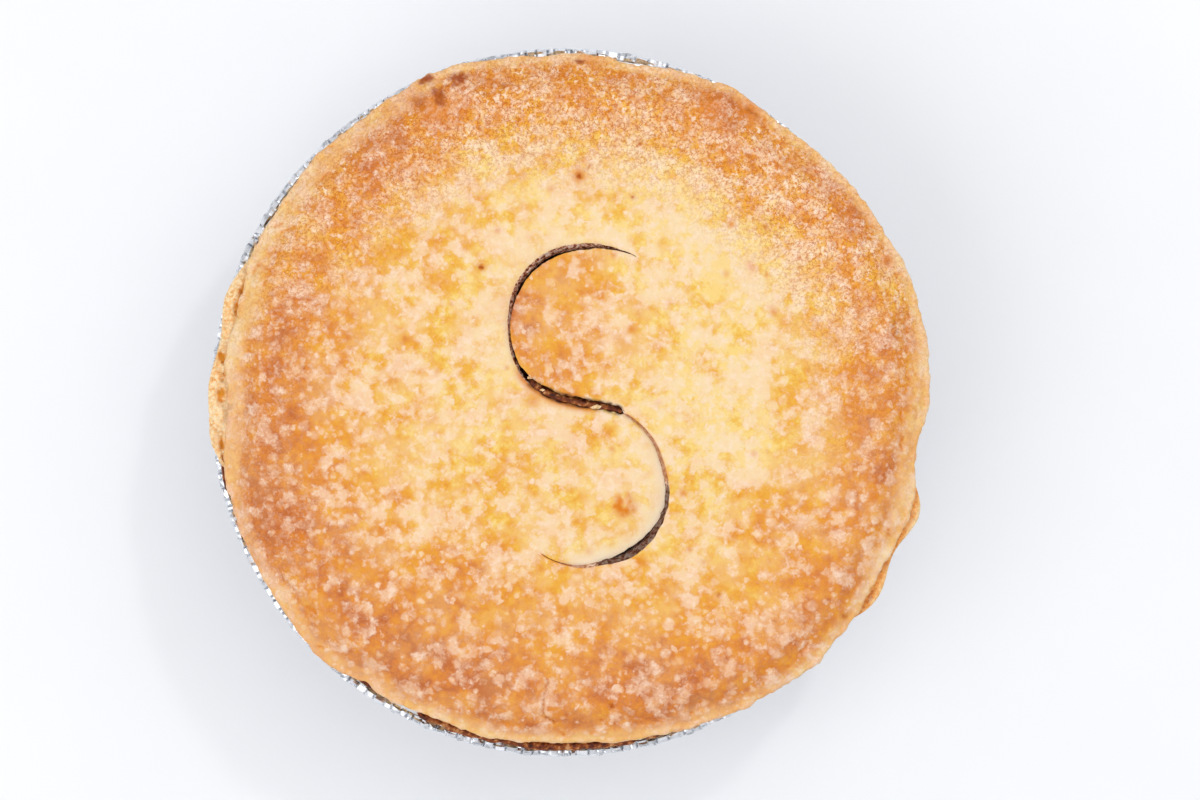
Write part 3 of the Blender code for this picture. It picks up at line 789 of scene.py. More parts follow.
def bubbling(points, share):
    """Where fat boiled on the surface: most on the far shoulder."""
    angles = polar(points)[1]
    far_side = angle_window(angles, 40, 120, 70)
    left_side = angle_window(angles, 150, 205, 20) * smooth_step(share, 0.72, 0.86)
    return smooth_step(share, 0.55, 0.86) * (0.1 + 0.9 * far_side) + 0.3 * left_side * (1 - far_side)


def triangles_between(outline, slit, inside):
    """Triangles over all these points, inside the outline and out of the slit."""
    points = np.vstack([outline, slit, *inside])
    first, last = len(outline), len(outline) + len(slit)
    middle = first + len(slit) // 2
    edges = [(i, (i + 1) % first) for i in range(first)]
    edges += [(i, i + 1) for i in range(first, last - 1)]
    edges.append((last - 1, first))
    _, _, faces, origins, _, _ = delaunay_2d_cdt(points.tolist(), edges, [], 1, 1e-9)
    kept = []
    for face in faces:
        corners = [origins[i][0] for i in face]
        on_slit = min(corners) >= first and max(corners) < last
        both_sides = min(corners) < middle <= max(corners)
        if not (on_slit and both_sides):
            kept.append(corners)
    return points, kept


def points_over_lid(spacing, share_limit, clear):
    """Points in an even triangle pattern over the lid, short of its edge and of the vent."""
    half = LID_RADIUS + 3 * MM
    rows = np.arange(-half, half, spacing * math.sqrt(3) / 2)
    x, y = np.meshgrid(np.arange(-half, half, spacing), rows)
    x = x + (np.arange(len(rows)) % 2)[:, None] * spacing / 2
    points = np.column_stack([x.ravel(), y.ravel()])
    points += np.random.default_rng(3).uniform(-0.18, 0.18, points.shape) * spacing
    points = points[share_of_lid(points) < share_limit]
    away, place = from_vent(points)
    return points[np.abs(away) > clear + vent_width(place) / 2]


def slit_edge(shift):
    """The torn edge of the slit, there and back, and rows of points beside each side of it."""
    path, across = vent_path()
    shares = np.linspace(0, 1, len(path))
    half = vent_width(shares) / 2
    torn = 0.16 * MM + 0.26 * MM * vent_gravy(shares)
    flat = np.column_stack([path, 0 * shares])
    middle = path + across * shift(shares)[:, None]
    sides, rows = [], []
    for way, seed in ((1, 31), (-1, 32)):
        tear = torn * roughness_at(flat, 0.9, seed, 4) * np.clip(half / (0.35 * MM), 0.3, 1)
        width = np.maximum(half + tear, 0.04 * MM)
        side = middle + way * across * width[:, None]
        sides.append(side)
        rows += [side + way * across * row for row in VENT_ROWS]
    return np.vstack([sides[0], sides[1][::-1]]), rows


def make_pastry_lid(material):
    _, across = vent_path()
    slit, beside_slit = slit_edge(np.zeros_like)
    slit_foot, beside_foot = slit_edge(vent_slant)
    outermost = [row[::4] for row in beside_foot[len(VENT_ROWS) - 1 :: len(VENT_ROWS)]]

    angles = turn(LID_SEGMENTS)
    outline = lid_outline(angles)
    edge_shares = (LID_RIM_SHARE, INNER_RIM_SHARE)
    rim, inner_rim = (ring(angles, share * outline, 0)[:, :2] for share in edge_shares)
    grains = points_over_lid(LID_GRAIN, GRAINS_SHARE, VENT_CLEAR)
    below = points_over_lid(UNDERSIDE_GRAIN, 0.9, UNDERSIDE_CLEAR)
    top, top_faces = triangles_between(rim, slit, [*beside_slit, inner_rim, grains])
    bottom, bottom_faces = triangles_between(rim, slit_foot, [*outermost, below])

    away, place = from_vent(top)
    share = share_of_lid(top)
    flat_top = np.column_stack([top, 0 * share])
    marks, dark, fried = marks_on(flat_top)
    height = lid_top(flat_top, share, away, place) + marks
    height += 0.22 * MM * roughness_at(flat_top, 16, 11, 2)
    lumps = roughness_at(flat_top, 2.6, 12, 3)
    height += 0.26 * MM * lumps * between(share, 0.945, 0.985, 0.03)
    rolled = rolled_edge(away, place)
    height -= 0.5 * MM * rolled
    beside = np.maximum(np.abs(away) - vent_width(place) / 2, 0)
    height -= 0.16 * MM * bump(beside, 0, 0.4 * MM)
    top = np.column_stack([top, height])
    bottom = np.column_stack([bottom, np.full(len(bottom), LID_BOTTOM)])

    # The side, from the top's last row down to the underside's first.
    side = []
    for u in np.linspace(0, 1, LID_SIDE_ROWS + 2)[1:-1]:
        swell = math.sin(math.pi * u) ** 0.7
        radius = outline * (LID_RIM_SHARE + (1 - LID_RIM_SHARE) * swell)
        fall = (height[: len(rim)] - LID_BOTTOM) * (1 + math.cos(math.pi * u)) / 2
        side.append(ring(angles, radius, LID_BOTTOM + fall))
    # The cut's walls, from the top's slit down to the underside's.
    slits = slice(len(rim), len(rim) + len(slit))
    high, low = top[slits], bottom[slits]
    out = np.vstack([across, -across[::-1]])
    shares = np.linspace(0, 1, len(across))
    shares = np.concatenate([shares, shares[::-1]])
    closed = vent_closed(shares)
    pinch = 0.75 * closed * vent_width(shares) / 2
    wall_depths = np.linspace(0, 1, VENT_WALL_ROWS + 2)[1:-1] ** 1.5
    walls = []
    for u in wall_depths:
        row = high + (low - high) * u
        row[:, :2] = high[:, :2] + (low - high)[:, :2] * (1 - (1 - u) ** 2.4)
        crumb = 0.34 * MM * math.sin(math.pi * u**0.6) * roughness_at(row, 0.7, 41, 3)
        crumb *= 1 - 0.8 * closed
        row[:, :2] += out * (crumb - pinch * smooth_step(u, 0, 0.15))[:, None]
        walls.append(row)

    points = np.vstack([top, bottom, *side, *walls])
    faces = [list(face) for face in top_faces]
    faces += [[i + len(top) for i in reversed(face)] for face in bottom_faces]
    side_start = len(top) + len(bottom)
    wall_start = side_start + len(side) * len(rim)

    def sew(first, length, start, rows):
        """Joins a loop of the top, by way of rows of points, to the same loop of the underside."""
        loops = [first, *range(start, start + rows * length, length), len(top) + first]
        for upper, lower in zip(loops, loops[1:]):
            for i in range(length):
                j = (i + 1) % length
                faces.append([upper + i, lower + i, lower + j, upper + j])

    sew(0, len(rim), side_start, len(side))
    sew(len(rim), len(slit), wall_start, len(walls))

    angles = polar(points)[1]
    share = share_of_lid(points)
    edge = smooth_step(share, 0.955, 0.985)
    ragged = 0.42 * roughness_at(points, 3.6, 51, 3)
    ragged += 0.2 * roughness_at(points, 1.1, 52, 2)
    points[:, :2] *= (1 + edge * ragged * MM / LID_RADIUS)[:, None]

    def over_all(on_top, on_bottom, on_walls):
        """One number for each point of the lid, 0 on its side."""
        parts = (on_top, len(top)), (on_bottom, len(bottom)), (0, wall_start - side_start)
        parts = [value + np.zeros(count) for value, count in parts]
        return np.concatenate([*parts, np.tile(on_walls + 0 * closed, len(walls))])

    cut = over_all(0, 0, 1 - 0.75 * closed)
    underside = over_all(0, 1, 0)
    # Gravy has soaked the foot of the cut, and the whole of it along the straight run. The soaked colour
    # down the walls also darkens them towards the foot as painted shade.
    torn_edge = vent_gravy(place) * bump(beside, 0, 0.3 * MM) * (beside < 1 * MM)
    torn_edge *= 0.7 + 0.9 * roughness_at(top, 0.8, 63, 2)
    soaked = over_all(np.clip(torn_edge, 0, 1), 0, 0)
    dry = np.interp(shares, *np.transpose(VENT_DRY_AND_LIT))
    # Painted shade as well as gravy: the walls of the lower bend take most of the soaked colour all the
    # way down.
    damp_and_shaded = 0.8 * between(shares, 0.72, 0.9, 0.02)
    soaked_and_shaded_rows = [np.maximum(smooth_step(u, dry, dry + 0.2), damp_and_shaded) for u in wall_depths]
    soaked[wall_start:] = np.concatenate(soaked_and_shaded_rows)
    smoothness = over_all(np.maximum(rolled, pressed_smooth(away, place)), 0, 0)
    # The walls where the cut has closed take 0.75 of the scorch colour: painted shade in the narrow
    # crack.
    scorch = np.maximum(over_all(dark, 0, 0.75 * closed), scorched(points, angles))
    run_out = between(place, 0.38, 0.5, 0.03) * (away < 0)
    run_out = 0.85 * run_out * bump(beside, 0.1 * MM, 0.75 * MM) * (beside < 2 * MM)
    hairline = 0.6 * vent_closed(place) * bump(beside, 0, 0.09 * MM)
    stain = over_all(np.maximum(run_out, np.maximum(fried, hairline)), 0, 0)
    boiled = bubbling(points, share)
    relief = (0.04 + 0.07 * smooth_step(share, 0.55, 0.88) + 0.03 * boiled) * MM + 0.08 * MM * edge
    relief = relief * (1 - 0.8 * smoothness) * (1 - underside) * (1 - 0.7 * cut)
    narrow = narrow_edge(angles)
    pressed = smooth_step(share, 0.925 + 0.035 * narrow, 0.96 + 0.025 * narrow) * (1 - cut)
    mesh = mesh_of(
        "pastry_lid_baked", points, faces,
        browning=browning_and_side_shade(points, share, *from_vent(points)) * (1 - 0.5 * underside),
        cut=cut, soaked=soaked, pressed=pressed, smoothness=smoothness,
        scorch=np.clip(scorch, 0, 1),
        stain=np.clip(np.maximum(stain, stained(points)), 0, 1),
        bubbled=boiled * (1 - cut) * (1 - underside) * (1 - 0.55 * pressed),
        relief=relief * (1 - over_all(0, 0, closed)),
    )
    new_piece("pastry_lid_baked", raise_crust(mesh), material, "pastry_lid")


# --- pastry case ---

CASE_SEGMENTS = 1080
LIP_FOLD = 0.5 * MM  # the rounding where the lip folds out and at its edge
LIP_DENTS = (  # the angle, the radius, the size round and across the rim, the depth
    (178.4, 61.2, 1.2, 0.6, 0.9), (172.4, 61.6, 1.0, 0.8, 0.9), (163.6, 60.7, 1.4, 0.4, 0.8),
    (160.4, 60.8, 1.0, 0.5, 0.9), (186.8, 61.5, 1.5, 0.5, 0.9), (189.4, 61.5, 0.7, 0.5, 0.8),
)


def case_radius(height):
    share = (height - TRAY_BASE_BEND) / (WALL_TOP - TRAY_BASE_BEND)
    return WALL_BOTTOM_RADIUS + share * (WALL_TOP_RADIUS - WALL_BOTTOM_RADIUS) - CASE_CLEARANCE


def case_wall(heights, inset):
    """Radii and heights up the case's wall, this far inside its outer face."""
    return [(case_radius(height) - inset, height) for height in heights]


def crumbly_part(angles):
    """1 where the lip on the left was torn and has crumbled."""
    return angle_window(angles, 156, 191, 4)


def make_pastry_case(material):
    angles = turn(CASE_SEGMENTS)
    ragged = roughness_round(angles, LIP_RADIUS, 3.4, 71, 4)
    outline = with_lobes(LIP_RADIUS + 0 * angles, angles, LIP_LOBES)
    outline = outline + (0.12 + 0.42 * crumbly_part(angles)) * MM * ragged
    floor = CASE_BOTTOM + CASE_FLOOR
    foot, neck = case_radius(CASE_BOTTOM), case_radius(FLANGE_UNDERSIDE)
    outside = [
        (0.5 * foot, CASE_BOTTOM),
        (foot - CASE_FOOT, CASE_BOTTOM),
        (foot - 0.4 * CASE_FOOT, CASE_BOTTOM + 0.3 * CASE_FOOT),
    ]
    outside += case_wall(np.linspace(CASE_BOTTOM + CASE_FOOT, FLANGE_UNDERSIDE, 8), 0)
    for share in (0, 0.35, 0.7):
        outside.append((neck + LIP_FOLD + share * (outline - 2 * LIP_FOLD - neck), LIP_BOTTOM))
    for share in np.linspace(0, 1, 9):  # round the outer edge of the lip, from below to above
        swing = -math.pi / 2 + share * math.pi
        height = LIP_BOTTOM + LIP_THICKNESS * (1 + math.sin(swing)) / 2
        outside.append((outline - LIP_FOLD + LIP_FOLD * math.cos(swing), height))
    inner = case_radius(LIP_TOP) - CASE_ACROSS + 1.5 * MM
    shares = np.linspace(0, 1, 16)[1:] ** 1.6
    inside = [(outline - LIP_FOLD + share * (inner - outline + LIP_FOLD), LIP_TOP) for share in shares]
    heights = [LIP_BOTTOM + 0.4 * LIP_THICKNESS, *np.linspace(FLANGE_UNDERSIDE, floor + CASE_FOOT, 6)]
    inside += case_wall(heights, CASE_ACROSS)
    inside.append((case_radius(floor) - CASE_ACROSS - CASE_FOOT, floor))
    points, faces = turned_body(angles, outside + inside)

    radius, place = polar(points)
    left = crumbly_part(place)
    on_lip = smooth_step(points[:, 2], LIP_BOTTOM - 0.6 * MM, LIP_BOTTOM + 0.4 * MM)
    grain = roughness_at(points, 1.5, 72, 4)
    crumbs = roughness_at(points, 0.8, 74, 3)
    points[:, 2] += on_lip * (0.1 + 0.75 * left) * MM * (grain - 0.4)
    points[:, 2] += on_lip * (0.08 + 0.3 * left) * MM * crumbs
    dents = np.zeros(len(points))
    for degrees, middle, round_rim, across_rim, depth in LIP_DENTS:
        off = (place - math.radians(degrees) + math.pi) % (2 * math.pi) - math.pi
        across = (radius / MM - middle + 0.3 * grain) / across_rim
        dent = bump(np.hypot(off * middle / round_rim, across) * (1 + 0.9 * crumbs), 0, 0.9)
        dents = np.maximum(dents, dent)
        points[:, 2] -= on_lip * depth * MM * dent
    beside_lid = bump(radius, lid_outline(place) + 0.5 * MM, 0.7 * MM)
    browning = 0.3 + 0.2 * grain + 0.5 * angle_window(place, 318, 352, 5) * beside_lid + 0.4 * dents
    browning += 0.15 * roughness_at(points, 6, 73, 2)
    dents = smooth_step(dents, 0.25, 0.65) * on_lip
    mesh = mesh_of("pastry_case_baked", points, faces, browning=browning, dents=dents, torn=left)
    new_piece("pastry_case_baked", mesh, material, "pastry_case")


def crumbly_shortcrust():
    """Unglazed shortcrust, pressed by hand into the tray and baked: pale gold, short and crumbly."""
    material, add, shader, place = new_material("shortcrust, hand pressed and baked")
    browning, dents, torn = stored_in(add, "browning dents torn")
    pale, grain, in_mm = crust_pattern(add, place, browning)
    crumbs = add("TexNoise", in_mm, Scale=1.6, Detail=4, Roughness=0.7)
    crumbs = add("Math SUBTRACT", crumbs, 0.5)
    uneven = add("MapRange", torn, 0, 1, 1.2, 2.5)
    crumbled = add("Math MULTIPLY_ADD", crumbs, uneven, browning)
    pale_gold = ((0.0, "#FAE4BE"), (0.35, "#F6CA8C"), (0.65, "#ECA454"), (1.0, "#C26E30"))
    crust = add("ValToRGB", crumbled, stops=pale_gold)
    cover = add("Math MULTIPLY", pale, 0.35)
    for thick, colour in ((cover, "#F8E0B4"), (dents, "#E0922A")):
        crust = add("Mix", thick, numbered={MIX_A: crust, MIX_B: linear(colour)}, **MIX_COLOURS)
    fine = add("TexNoise", in_mm, Scale=2.0, Detail=3, Roughness=0.65)
    shade = add("MapRange", fine, 0.3, 0.7, 0.84, 1.16)
    grained = add("VectorMath SCALE", crust, Scale=shade)
    dull = add("MapRange", grain, 0.3, 0.7, 0.5, 0.68)
    relief = add("Bump", Strength=0.8, Distance=0.2 * MM, Height=fine)
    plug(shader, {"Base Color": grained, "Roughness": dull, "Normal": relief})
    plug(shader, {"Subsurface Weight": 0.1, "Subsurface Scale": 0.5 * MM, **PASTRY_LOOK})
    return material


# --- filling ---

CHUNK_SIZE = 9.0  # mm


def steak_in_gravy():
    """Stewed steak and onion in a brown gravy: near black in the dark of the vent, and wet."""
    material, add, shader, place = new_material("stewed steak and onion in gravy")
    lumps = add("TexNoise", place, Scale=700, Detail=4, Roughness=0.65)
    browns = ((0.3, "#1C0C07"), (0.5, "#3A1E12"), (0.62, "#5A3420"), (0.78, "#86593A"))
    colour = add("ValToRGB", lumps, stops=browns)
    fibres = add("TexNoise", place, Scale=1500, Detail=3)
    relief = add("Bump", Strength=0.5, Distance=0.3 * MM, Height=fibres)
    wet = add("MapRange", lumps, 0.3, 0.7, 0.35, 0.65)
    plug(shader, {"Base Color": colour, "Normal": relief, "Roughness": wet, "IOR": 1.38})
    return material


def make_filling(material):
    """Chunks of steak under a skin of gravy, which fill the case up to a little under the lid."""
    bottom = CASE_BOTTOM + CASE_FLOOR + GAP
    clear = CASE_ACROSS + GAP / math.cos(WALL_SLANT)
    foot = case_radius(bottom)
    profile = [(0.5 * foot, bottom), (foot - clear - CASE_FOOT, bottom)]
    profile += case_wall(np.linspace(bottom + CASE_FOOT, FILLING_TOP - FILLING_ROUNDING, 6), clear)
    rim = case_radius(FILLING_TOP) - clear - FILLING_ROUNDING
    profile.append((rim + 0.6 * FILLING_ROUNDING, FILLING_TOP - 0.3 * FILLING_ROUNDING))
    profile += [(rim * share, FILLING_TOP) for share in np.linspace(1, 0.02, 110)]
    points, faces = turned_body(turn(360), profile)
    on_top = smooth_step(points[:, 2], FILLING_TOP - 0.5 * MM, FILLING_TOP - 0.1 * MM)
    chunks = np.abs(roughness_at(points, CHUNK_SIZE, 81, 2)) ** 0.7
    fine = roughness_at(points, 1.8, 82, 3)
    points[:, 2] += on_top * (1.3 * MM * chunks - 0.25 * MM + 0.22 * MM * fine)
    mesh = mesh_of("steak_filling_top", points, faces)
    new_piece("steak_filling_top", mesh, material, "steak_filling")


# --- baked gravy ---

GRAVY_RUNS = (  # start and end in degrees, radius, thickness, height
    (244.5, 288.5, 61.25, 0.78, 33.6), (189.8, 195.2, 61.9, 0.5, 33.4),
    (145.6, 149.0, 61.3, 0.42, 33.4), (132.8, 135.4, 61.3, 0.5, 33.4),
    (84.0, 87.0, 61.4, 0.4, 33.4), (232.5, 240.0, 61.4, 0.35, 33.3),
)
GRAVY_LEVEL = LID_BOTTOM + 2.6 * MM  # in the straight run of the vent


def dried_gravy():
    """Gravy that boiled out under the lid and baked on: a sticky near-black brown with a gloss."""
    material, add, shader, place = new_material("gravy, boiled over and baked on")
    lumps = add("TexNoise", place, Scale=900, Detail=4, Roughness=0.6)
    browns = ((0.3, "#2A0E06"), (0.44, "#662A12"), (0.55, "#96501E"), (0.68, "#D29A66"))
    colour = add("ValToRGB", lumps, stops=browns)
    relief = add("Bump", Strength=0.5, Distance=0.15 * MM, Height=lumps)
    gloss = add("MapRange", lumps, 0.3, 0.7, 0.35, 0.65)
    plug(shader, {"Base Color": colour, "Normal": relief, "Roughness": gloss})
    plug(shader, {"IOR": 1.42, "Specular IOR Level": 0.3})
    return material


def tube_of(line, radius, sides=12):
    """A closed tube of changing radius along a line of points in space."""
    along = np.gradient(line, axis=0)
    along /= np.linalg.norm(along, axis=1)[:, None]
    level = np.cross(along, (0, 0, 1))
    level /= np.linalg.norm(level, axis=1)[:, None]
    upright = np.cross(level, along)
    swing = turn(sides)
    rings = []
    for i, middle in enumerate(line):
        circle = np.outer(np.cos(swing), level[i]) + np.outer(np.sin(swing), upright[i])
        rings.append(middle + radius[i] * circle)
    return skin_over(rings)


def make_gravy_line(material):
    shapes = []
    for number, (start, end, radius, thick, height) in enumerate(GRAVY_RUNS):
        count = max(16, int((end - start) * 9))
        angles = np.radians(np.linspace(start, end, count))
        rough = roughness_round(angles, LIP_RADIUS, 2.2, 91 + number, 3)
        fade = smooth_step(np.minimum(np.arange(count), np.arange(count)[::-1]), 0, 8)
        thickness = (0.1 + (thick - 0.1) * (0.85 + 0.75 * rough) * fade) * MM
        swell = roughness_round(angles, LIP_RADIUS, 5, 95 + number, 2)
        line = ring(angles, (radius + 0.2 * swell) * MM, height * MM)
        shapes.append(tube_of(line, np.maximum(thickness, 0.06 * MM)))
    points, faces = join_shapes(shapes)
    points[:, 2] += 0.12 * MM * roughness_at(points, 0.7, 99, 2)
    new_piece("baked_gravy_line", mesh_of("baked_gravy_line", points, faces), material)


def make_gravy_in_vent(material):
    """Gravy and meat that rose into the straight run of the vent, nearly to its top."""
    path, _ = vent_path()
    shares = np.linspace(0, 1, len(path))
    chosen = vent_gravy(shares) > 0
    shares = shares[chosen]
    line = np.column_stack([path[chosen], np.full(len(shares), GRAVY_LEVEL)])
    line[:, 2] += 0.3 * MM * roughness_at(line, 1.6, 101, 3)
    half = vent_width(shares) / 2 + 0.12 * MM
    sides = 20
    points, faces = tube_of(line, half * (0.3 + 0.7 * vent_gravy(shares)), sides)
    middle = np.repeat(line[:, 2], sides)
    tall = points[: len(middle), 2] - middle
    points[: len(middle), 2] = middle + np.where(tall > 0, 1.2, 4.5) * tall
    points += 0.22 * MM * roughness_at(points, 0.8, 102, 3)[:, None] * (0.3, 0.3, 1)
    new_piece("gravy_in_vent", mesh_of("gravy_in_vent", points, faces), material)


# --- crumbs ---

CRUMBS = (  # middle, size across, along and up
    ((5.5, -0.75, 37.8), (2.2, 1.0, 0.8)),
    ((-3.9, 2.2, 38.3), (0.9, 0.5, 0.6)),
    ((-6.1, 4.4, 38.3), (0.9, 0.5, 0.5)),
)


def lump(middle, sizes, seed):
    """A rough pebble of pastry."""
    swings = [-math.pi / 2 + math.pi * (0.02 + 0.96 * k / 9) for k in range(10)]
    points, faces = turned_body(turn(16), [(math.cos(swing), math.sin(swing)) for swing in swings])
    points *= 1 + 0.5 * roughness_at(points * MM, 0.7, seed, 3)[:, None]
    return np.array(middle) * MM + points * np.array(sizes) * MM / 2, faces


def make_crumbs(material):
    shapes = [lump(middle, sizes, 111 + i) for i, (middle, sizes) in enumerate(CRUMBS)]
    points, faces = join_shapes(shapes)
    browning = 0.3 + 0.4 * roughness_at(points, 0.5, 121, 2)
    mesh = mesh_of("pastry_crumbs", points, faces, browning=browning, dents=0, torn=1)
    new_piece("pastry_crumbs", mesh, material)


# --- foil tray ---

FOIL_SEGMENTS = 1300
FOIL_THICKNESS = 0.12 * MM
BASE_RIB_WIDTH = 5.4 * MM
WALL_ROWS = 9
FLANGE_ROWS = 4
ROLL_SWINGS = (185, 225, 262, 298, 335, 372, 404, 436, 462, 488)  # degrees round the rolled rim
RIM_FLATS = 260
CREASE_HALF = 0.13 * MM  # half the width of the crease between two flats
CRIMP = 0.26 * MM


def pleats_at(angles):
    """The wall's pleats from -0.5 to 0.5, sharp inside and rounder outside, and their creases, which the
    foil's colour darkens as painted shade.
    """
    drift = 0.35 * roughness_round(angles, TRAY_RADIUS, 14, 131, 2)
    phase = (angles * TRAY_PLEATS / (2 * math.pi) + drift) % 1
    folded = np.abs(2 * phase - 1)
    uneven = 0.8 + 0.3 * roughness_round(angles, TRAY_RADIUS, 9, 132)
    return (folded**0.75 - 0.55) * uneven, bump(folded, 0, 0.1)


def crimped(angles, ends, seed):
    """Random offsets from -1 to 1 for the rim's flats, each leaning its own way."""
    chance = np.random.default_rng(seed)
    flat = np.minimum(np.searchsorted(ends, angles, side="right"), RIM_FLATS - 1)
    starts = np.append(0, ends[:-1])
    share = (angles - starts[flat]) / (ends - starts)[flat]
    level = chance.uniform(-0.6, 0.6, RIM_FLATS)[flat]
    lean = chance.uniform(-1.0, 1.0, RIM_FLATS)[flat]
    return level + lean * (share - 0.5)


def make_foil_tray(material):
    """The sheet, followed out along its underside, round the rolled rim and back along its top."""
    angles = turn(FOIL_SEGMENTS)
    pleat, pleat_creases = pleats_at(angles)
    pleat = pleat * TRAY_PLEAT_DEPTH
    fine = roughness_round(angles, TRAY_RADIUS, 1.9, 133, 2) * 0.12 * MM
    steps = np.random.default_rng(140).uniform(0.55, 1.45, RIM_FLATS)
    ends = 2 * math.pi * np.cumsum(steps) / steps.sum()  # the angles where the rim's flats end
    away = np.abs(angles[:, None] - ends[None, :]).min(axis=1) * TRAY_RADIUS
    # The creases between the rim's flats: they pull the sheet in, and the foil's colour darkens along
    # them as painted shade.
    crease = bump(away, 0, CREASE_HALF)
    base = [(0.3 * TRAY_RIB_RADIUS, 0.0), (0.7 * TRAY_RIB_RADIUS, 0.0)]
    for share in np.linspace(0, 1, 8):
        rise = TRAY_RIB_HEIGHT * math.sin(math.pi * share) ** 1.2
        base.append((TRAY_RIB_RADIUS + (share - 0.5) * BASE_RIB_WIDTH, rise))
    base += [(TRAY_BASE_RADIUS - 3 * MM, 0.0), (TRAY_BASE_RADIUS - 0.6 * MM, 0.0)]

    def wall(inset):
        rows = []
        for share in np.linspace(0, 1, WALL_ROWS):
            radius = WALL_BOTTOM_RADIUS + share * (WALL_TOP_RADIUS - WALL_BOTTOM_RADIUS)
            radius = radius - inset + (0.25 + 0.75 * share**0.7) * pleat + share * fine
            rows.append((radius, TRAY_BASE_BEND + share * (WALL_TOP - TRAY_BASE_BEND)))
        return rows

    def flange(lift):
        rows = []
        width = TRAY_RADIUS - TRAY_ROLL - FLANGE_INNER_RADIUS
        for share in np.linspace(0, 1, FLANGE_ROWS):
            radius = FLANGE_INNER_RADIUS + share * width + (1 - share) * 0.4 * pleat
            rise = (1 - share) * 0.14 * pleat + 0.4 * CRIMP * share * crimped(angles, ends, 141)
            rows.append((radius, FLANGE_UNDERSIDE + lift + rise))
        return rows

    roll = []
    half = TRAY_ROLL / 2
    for k, swing in enumerate(np.radians(ROLL_SWINGS)):
        jitter = (0.8 * crimped(angles, ends, 150 + k) - 0.6 * crease) * CRIMP
        shake = (crimped(angles, ends, 170 + k) - 0.9 * crease) * CRIMP
        radius = TRAY_RADIUS - half + half * math.cos(swing) + jitter - 0.12 * MM
        roll.append((radius, TRAY_HEIGHT - half + half * math.sin(swing) + shake - 0.1 * MM))

    profile = base + wall(0) + flange(0) + roll + flange(TRAY_SHEET)[::-1]
    profile += wall(FOIL_THICKNESS / math.cos(WALL_SLANT))[::-1]
    profile += [(radius, height + FOIL_THICKNESS) for radius, height in base[::-1]]
    points, faces = turned_body(angles, profile)
    # Painted shade: the creases of the pleats and of the rim, stored for the foil's colour to darken.
    creases = np.zeros((len(profile), FOIL_SEGMENTS))
    first = len(base)
    creases[first : first + WALL_ROWS] = np.linspace(0.3, 1, WALL_ROWS)[:, None] * pleat_creases
    first += WALL_ROWS + FLANGE_ROWS
    creases[first : first + len(roll)] = crease
    mesh = mesh_of("foil_tray_sheet", points, faces, crease=np.append(creases, (0, 0)))
    mesh.set_sharp_from_angle(angle=math.radians(12))
    new_piece("foil_tray_sheet", mesh, material, "foil_tray")


def aluminium_foil():
    """Soft aluminium foil, cold rolled and then pressed: bright, with the rolls' fine parallel lines."""
    material, add, shader, place = new_material("aluminium foil, cold rolled and pressed")
    # Rolling lines are some hundredths of a millimetre apart; 0.35 mm is the finest that shows.
    stretched = add("VectorMath MULTIPLY", place, (120, 2800, 2800))
    lines = add("TexNoise", stretched, Scale=1, Detail=3, Roughness=0.6)
    dents = add("TexNoise", place, Scale=520, Detail=3, Roughness=0.55)
    tint = add("ValToRGB", dents, stops=((0.3, "#DFE2E8"), (0.7, "#EEF0F3")))
    # Painted shade: the foil darkens to a grey-blue along its creases.
    dark = add("Math MULTIPLY", *stored_in(add, "crease"), 0.55)
    tint = add("Mix", dark, numbered={MIX_A: tint, MIX_B: linear("#5A5E68")}, **MIX_COLOURS)
    worn = add("MapRange", lines, 0.3, 0.7, 0.16, 0.34)
    both = add("Math MULTIPLY_ADD", dents, 1.2, lines)
    relief = add("Bump", Strength=0.35, Distance=0.08 * MM, Height=both)
    plug(shader, {"Base Color": tint, "Roughness": worn, "Normal": relief, "Metallic": 1.0})
    return material


# --- studio ---

FLOOR_HALF = 1.5
PICTURE_MIDDLE = (6.29 * MM, 0.43 * MM)
CAMERA_HEIGHT = LID_BOTTOM + 4.3 * MM + 588.7 * MM


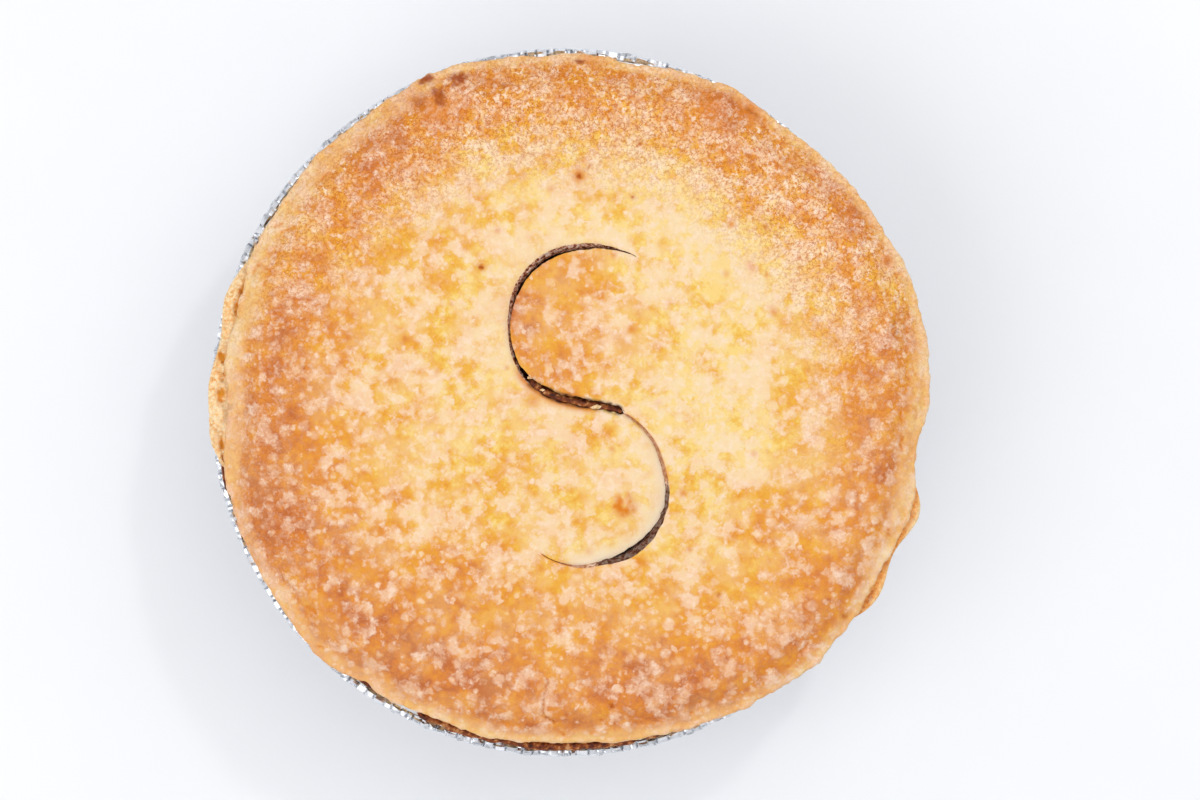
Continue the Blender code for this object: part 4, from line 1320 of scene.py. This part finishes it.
def make_floor():
    material, add, shader, place = new_material("matt white board")
    mottle = add("TexNoise", place, Scale=40, Detail=2)
    colour = add("ValToRGB", mottle, stops=((0.0, "#F1F2F4"), (1.0, "#F4F5F7")))
    plug(shader, {"Base Color": colour, "Roughness": 0.7})
    corners = [(x, y, 0) for x, y in ((-1, -1), (1, -1), (1, 1), (-1, 1))]
    mesh = mesh_of("studio_floor", FLOOR_HALF * np.array(corners), [(0, 1, 2, 3)])
    mesh.materials.append(material)
    put_in_scene("studio_floor", mesh)


def add_softbox(name, location, size, watts):
    light = bpy.data.lights.new(name, "AREA")
    light.shape = "SQUARE"
    light.size = size
    light.energy = watts
    lamp = put_in_scene(name, light)
    lamp.location = location
    lamp.rotation_euler = (-Vector(location)).to_track_quat("-Z", "Y").to_euler()


def light_studio():
    world = bpy.data.worlds.new("studio")
    bpy.context.scene.world = world
    world.use_nodes = True
    add = partial(add_node, world.node_tree)
    direction = add("TexCoord", output="Generated")
    upward = add("SeparateXYZ", direction, output=2)
    greys = ((0.0, "#94969A"), (0.12, "#ACAEB2"), (0.5, "#ECECEF"))
    glow = add("ValToRGB", upward, stops=greys)
    plug(world.node_tree.nodes["Background"], {"Color": glow, "Strength": 0.92})
    add_softbox("key softbox", (0.3, 0.3, 0.66), 0.8, 1.3)
    add_softbox("small bright lamp", (0.27, 0.36, 0.62), 0.05, 0.5)
    add_softbox("fill softbox", (-0.5, -0.35, 0.6), 0.8, 2.2)


def point_camera():
    """Straight down, with the tray a little left of the picture's middle."""
    camera = bpy.data.cameras.new("camera")
    camera.lens = 100
    camera.sensor_width = 36
    camera.clip_start = 0.01
    eye = put_in_scene("camera", camera)
    eye.location = (*PICTURE_MIDDLE, CAMERA_HEIGHT)
    bpy.context.scene.camera = eye


# --- putting it together ---

crumbly = crumbly_shortcrust()
gravy = dried_gravy()
make_foil_tray(aluminium_foil())
make_pastry_case(crumbly)
make_filling(steak_in_gravy())
make_gravy_in_vent(gravy)
make_pastry_lid(baked_shortcrust())
make_gravy_line(gravy)
make_crumbs(crumbly)
make_floor()
light_studio()
point_camera()
bpy.context.scene.view_settings.view_transform = "Standard"
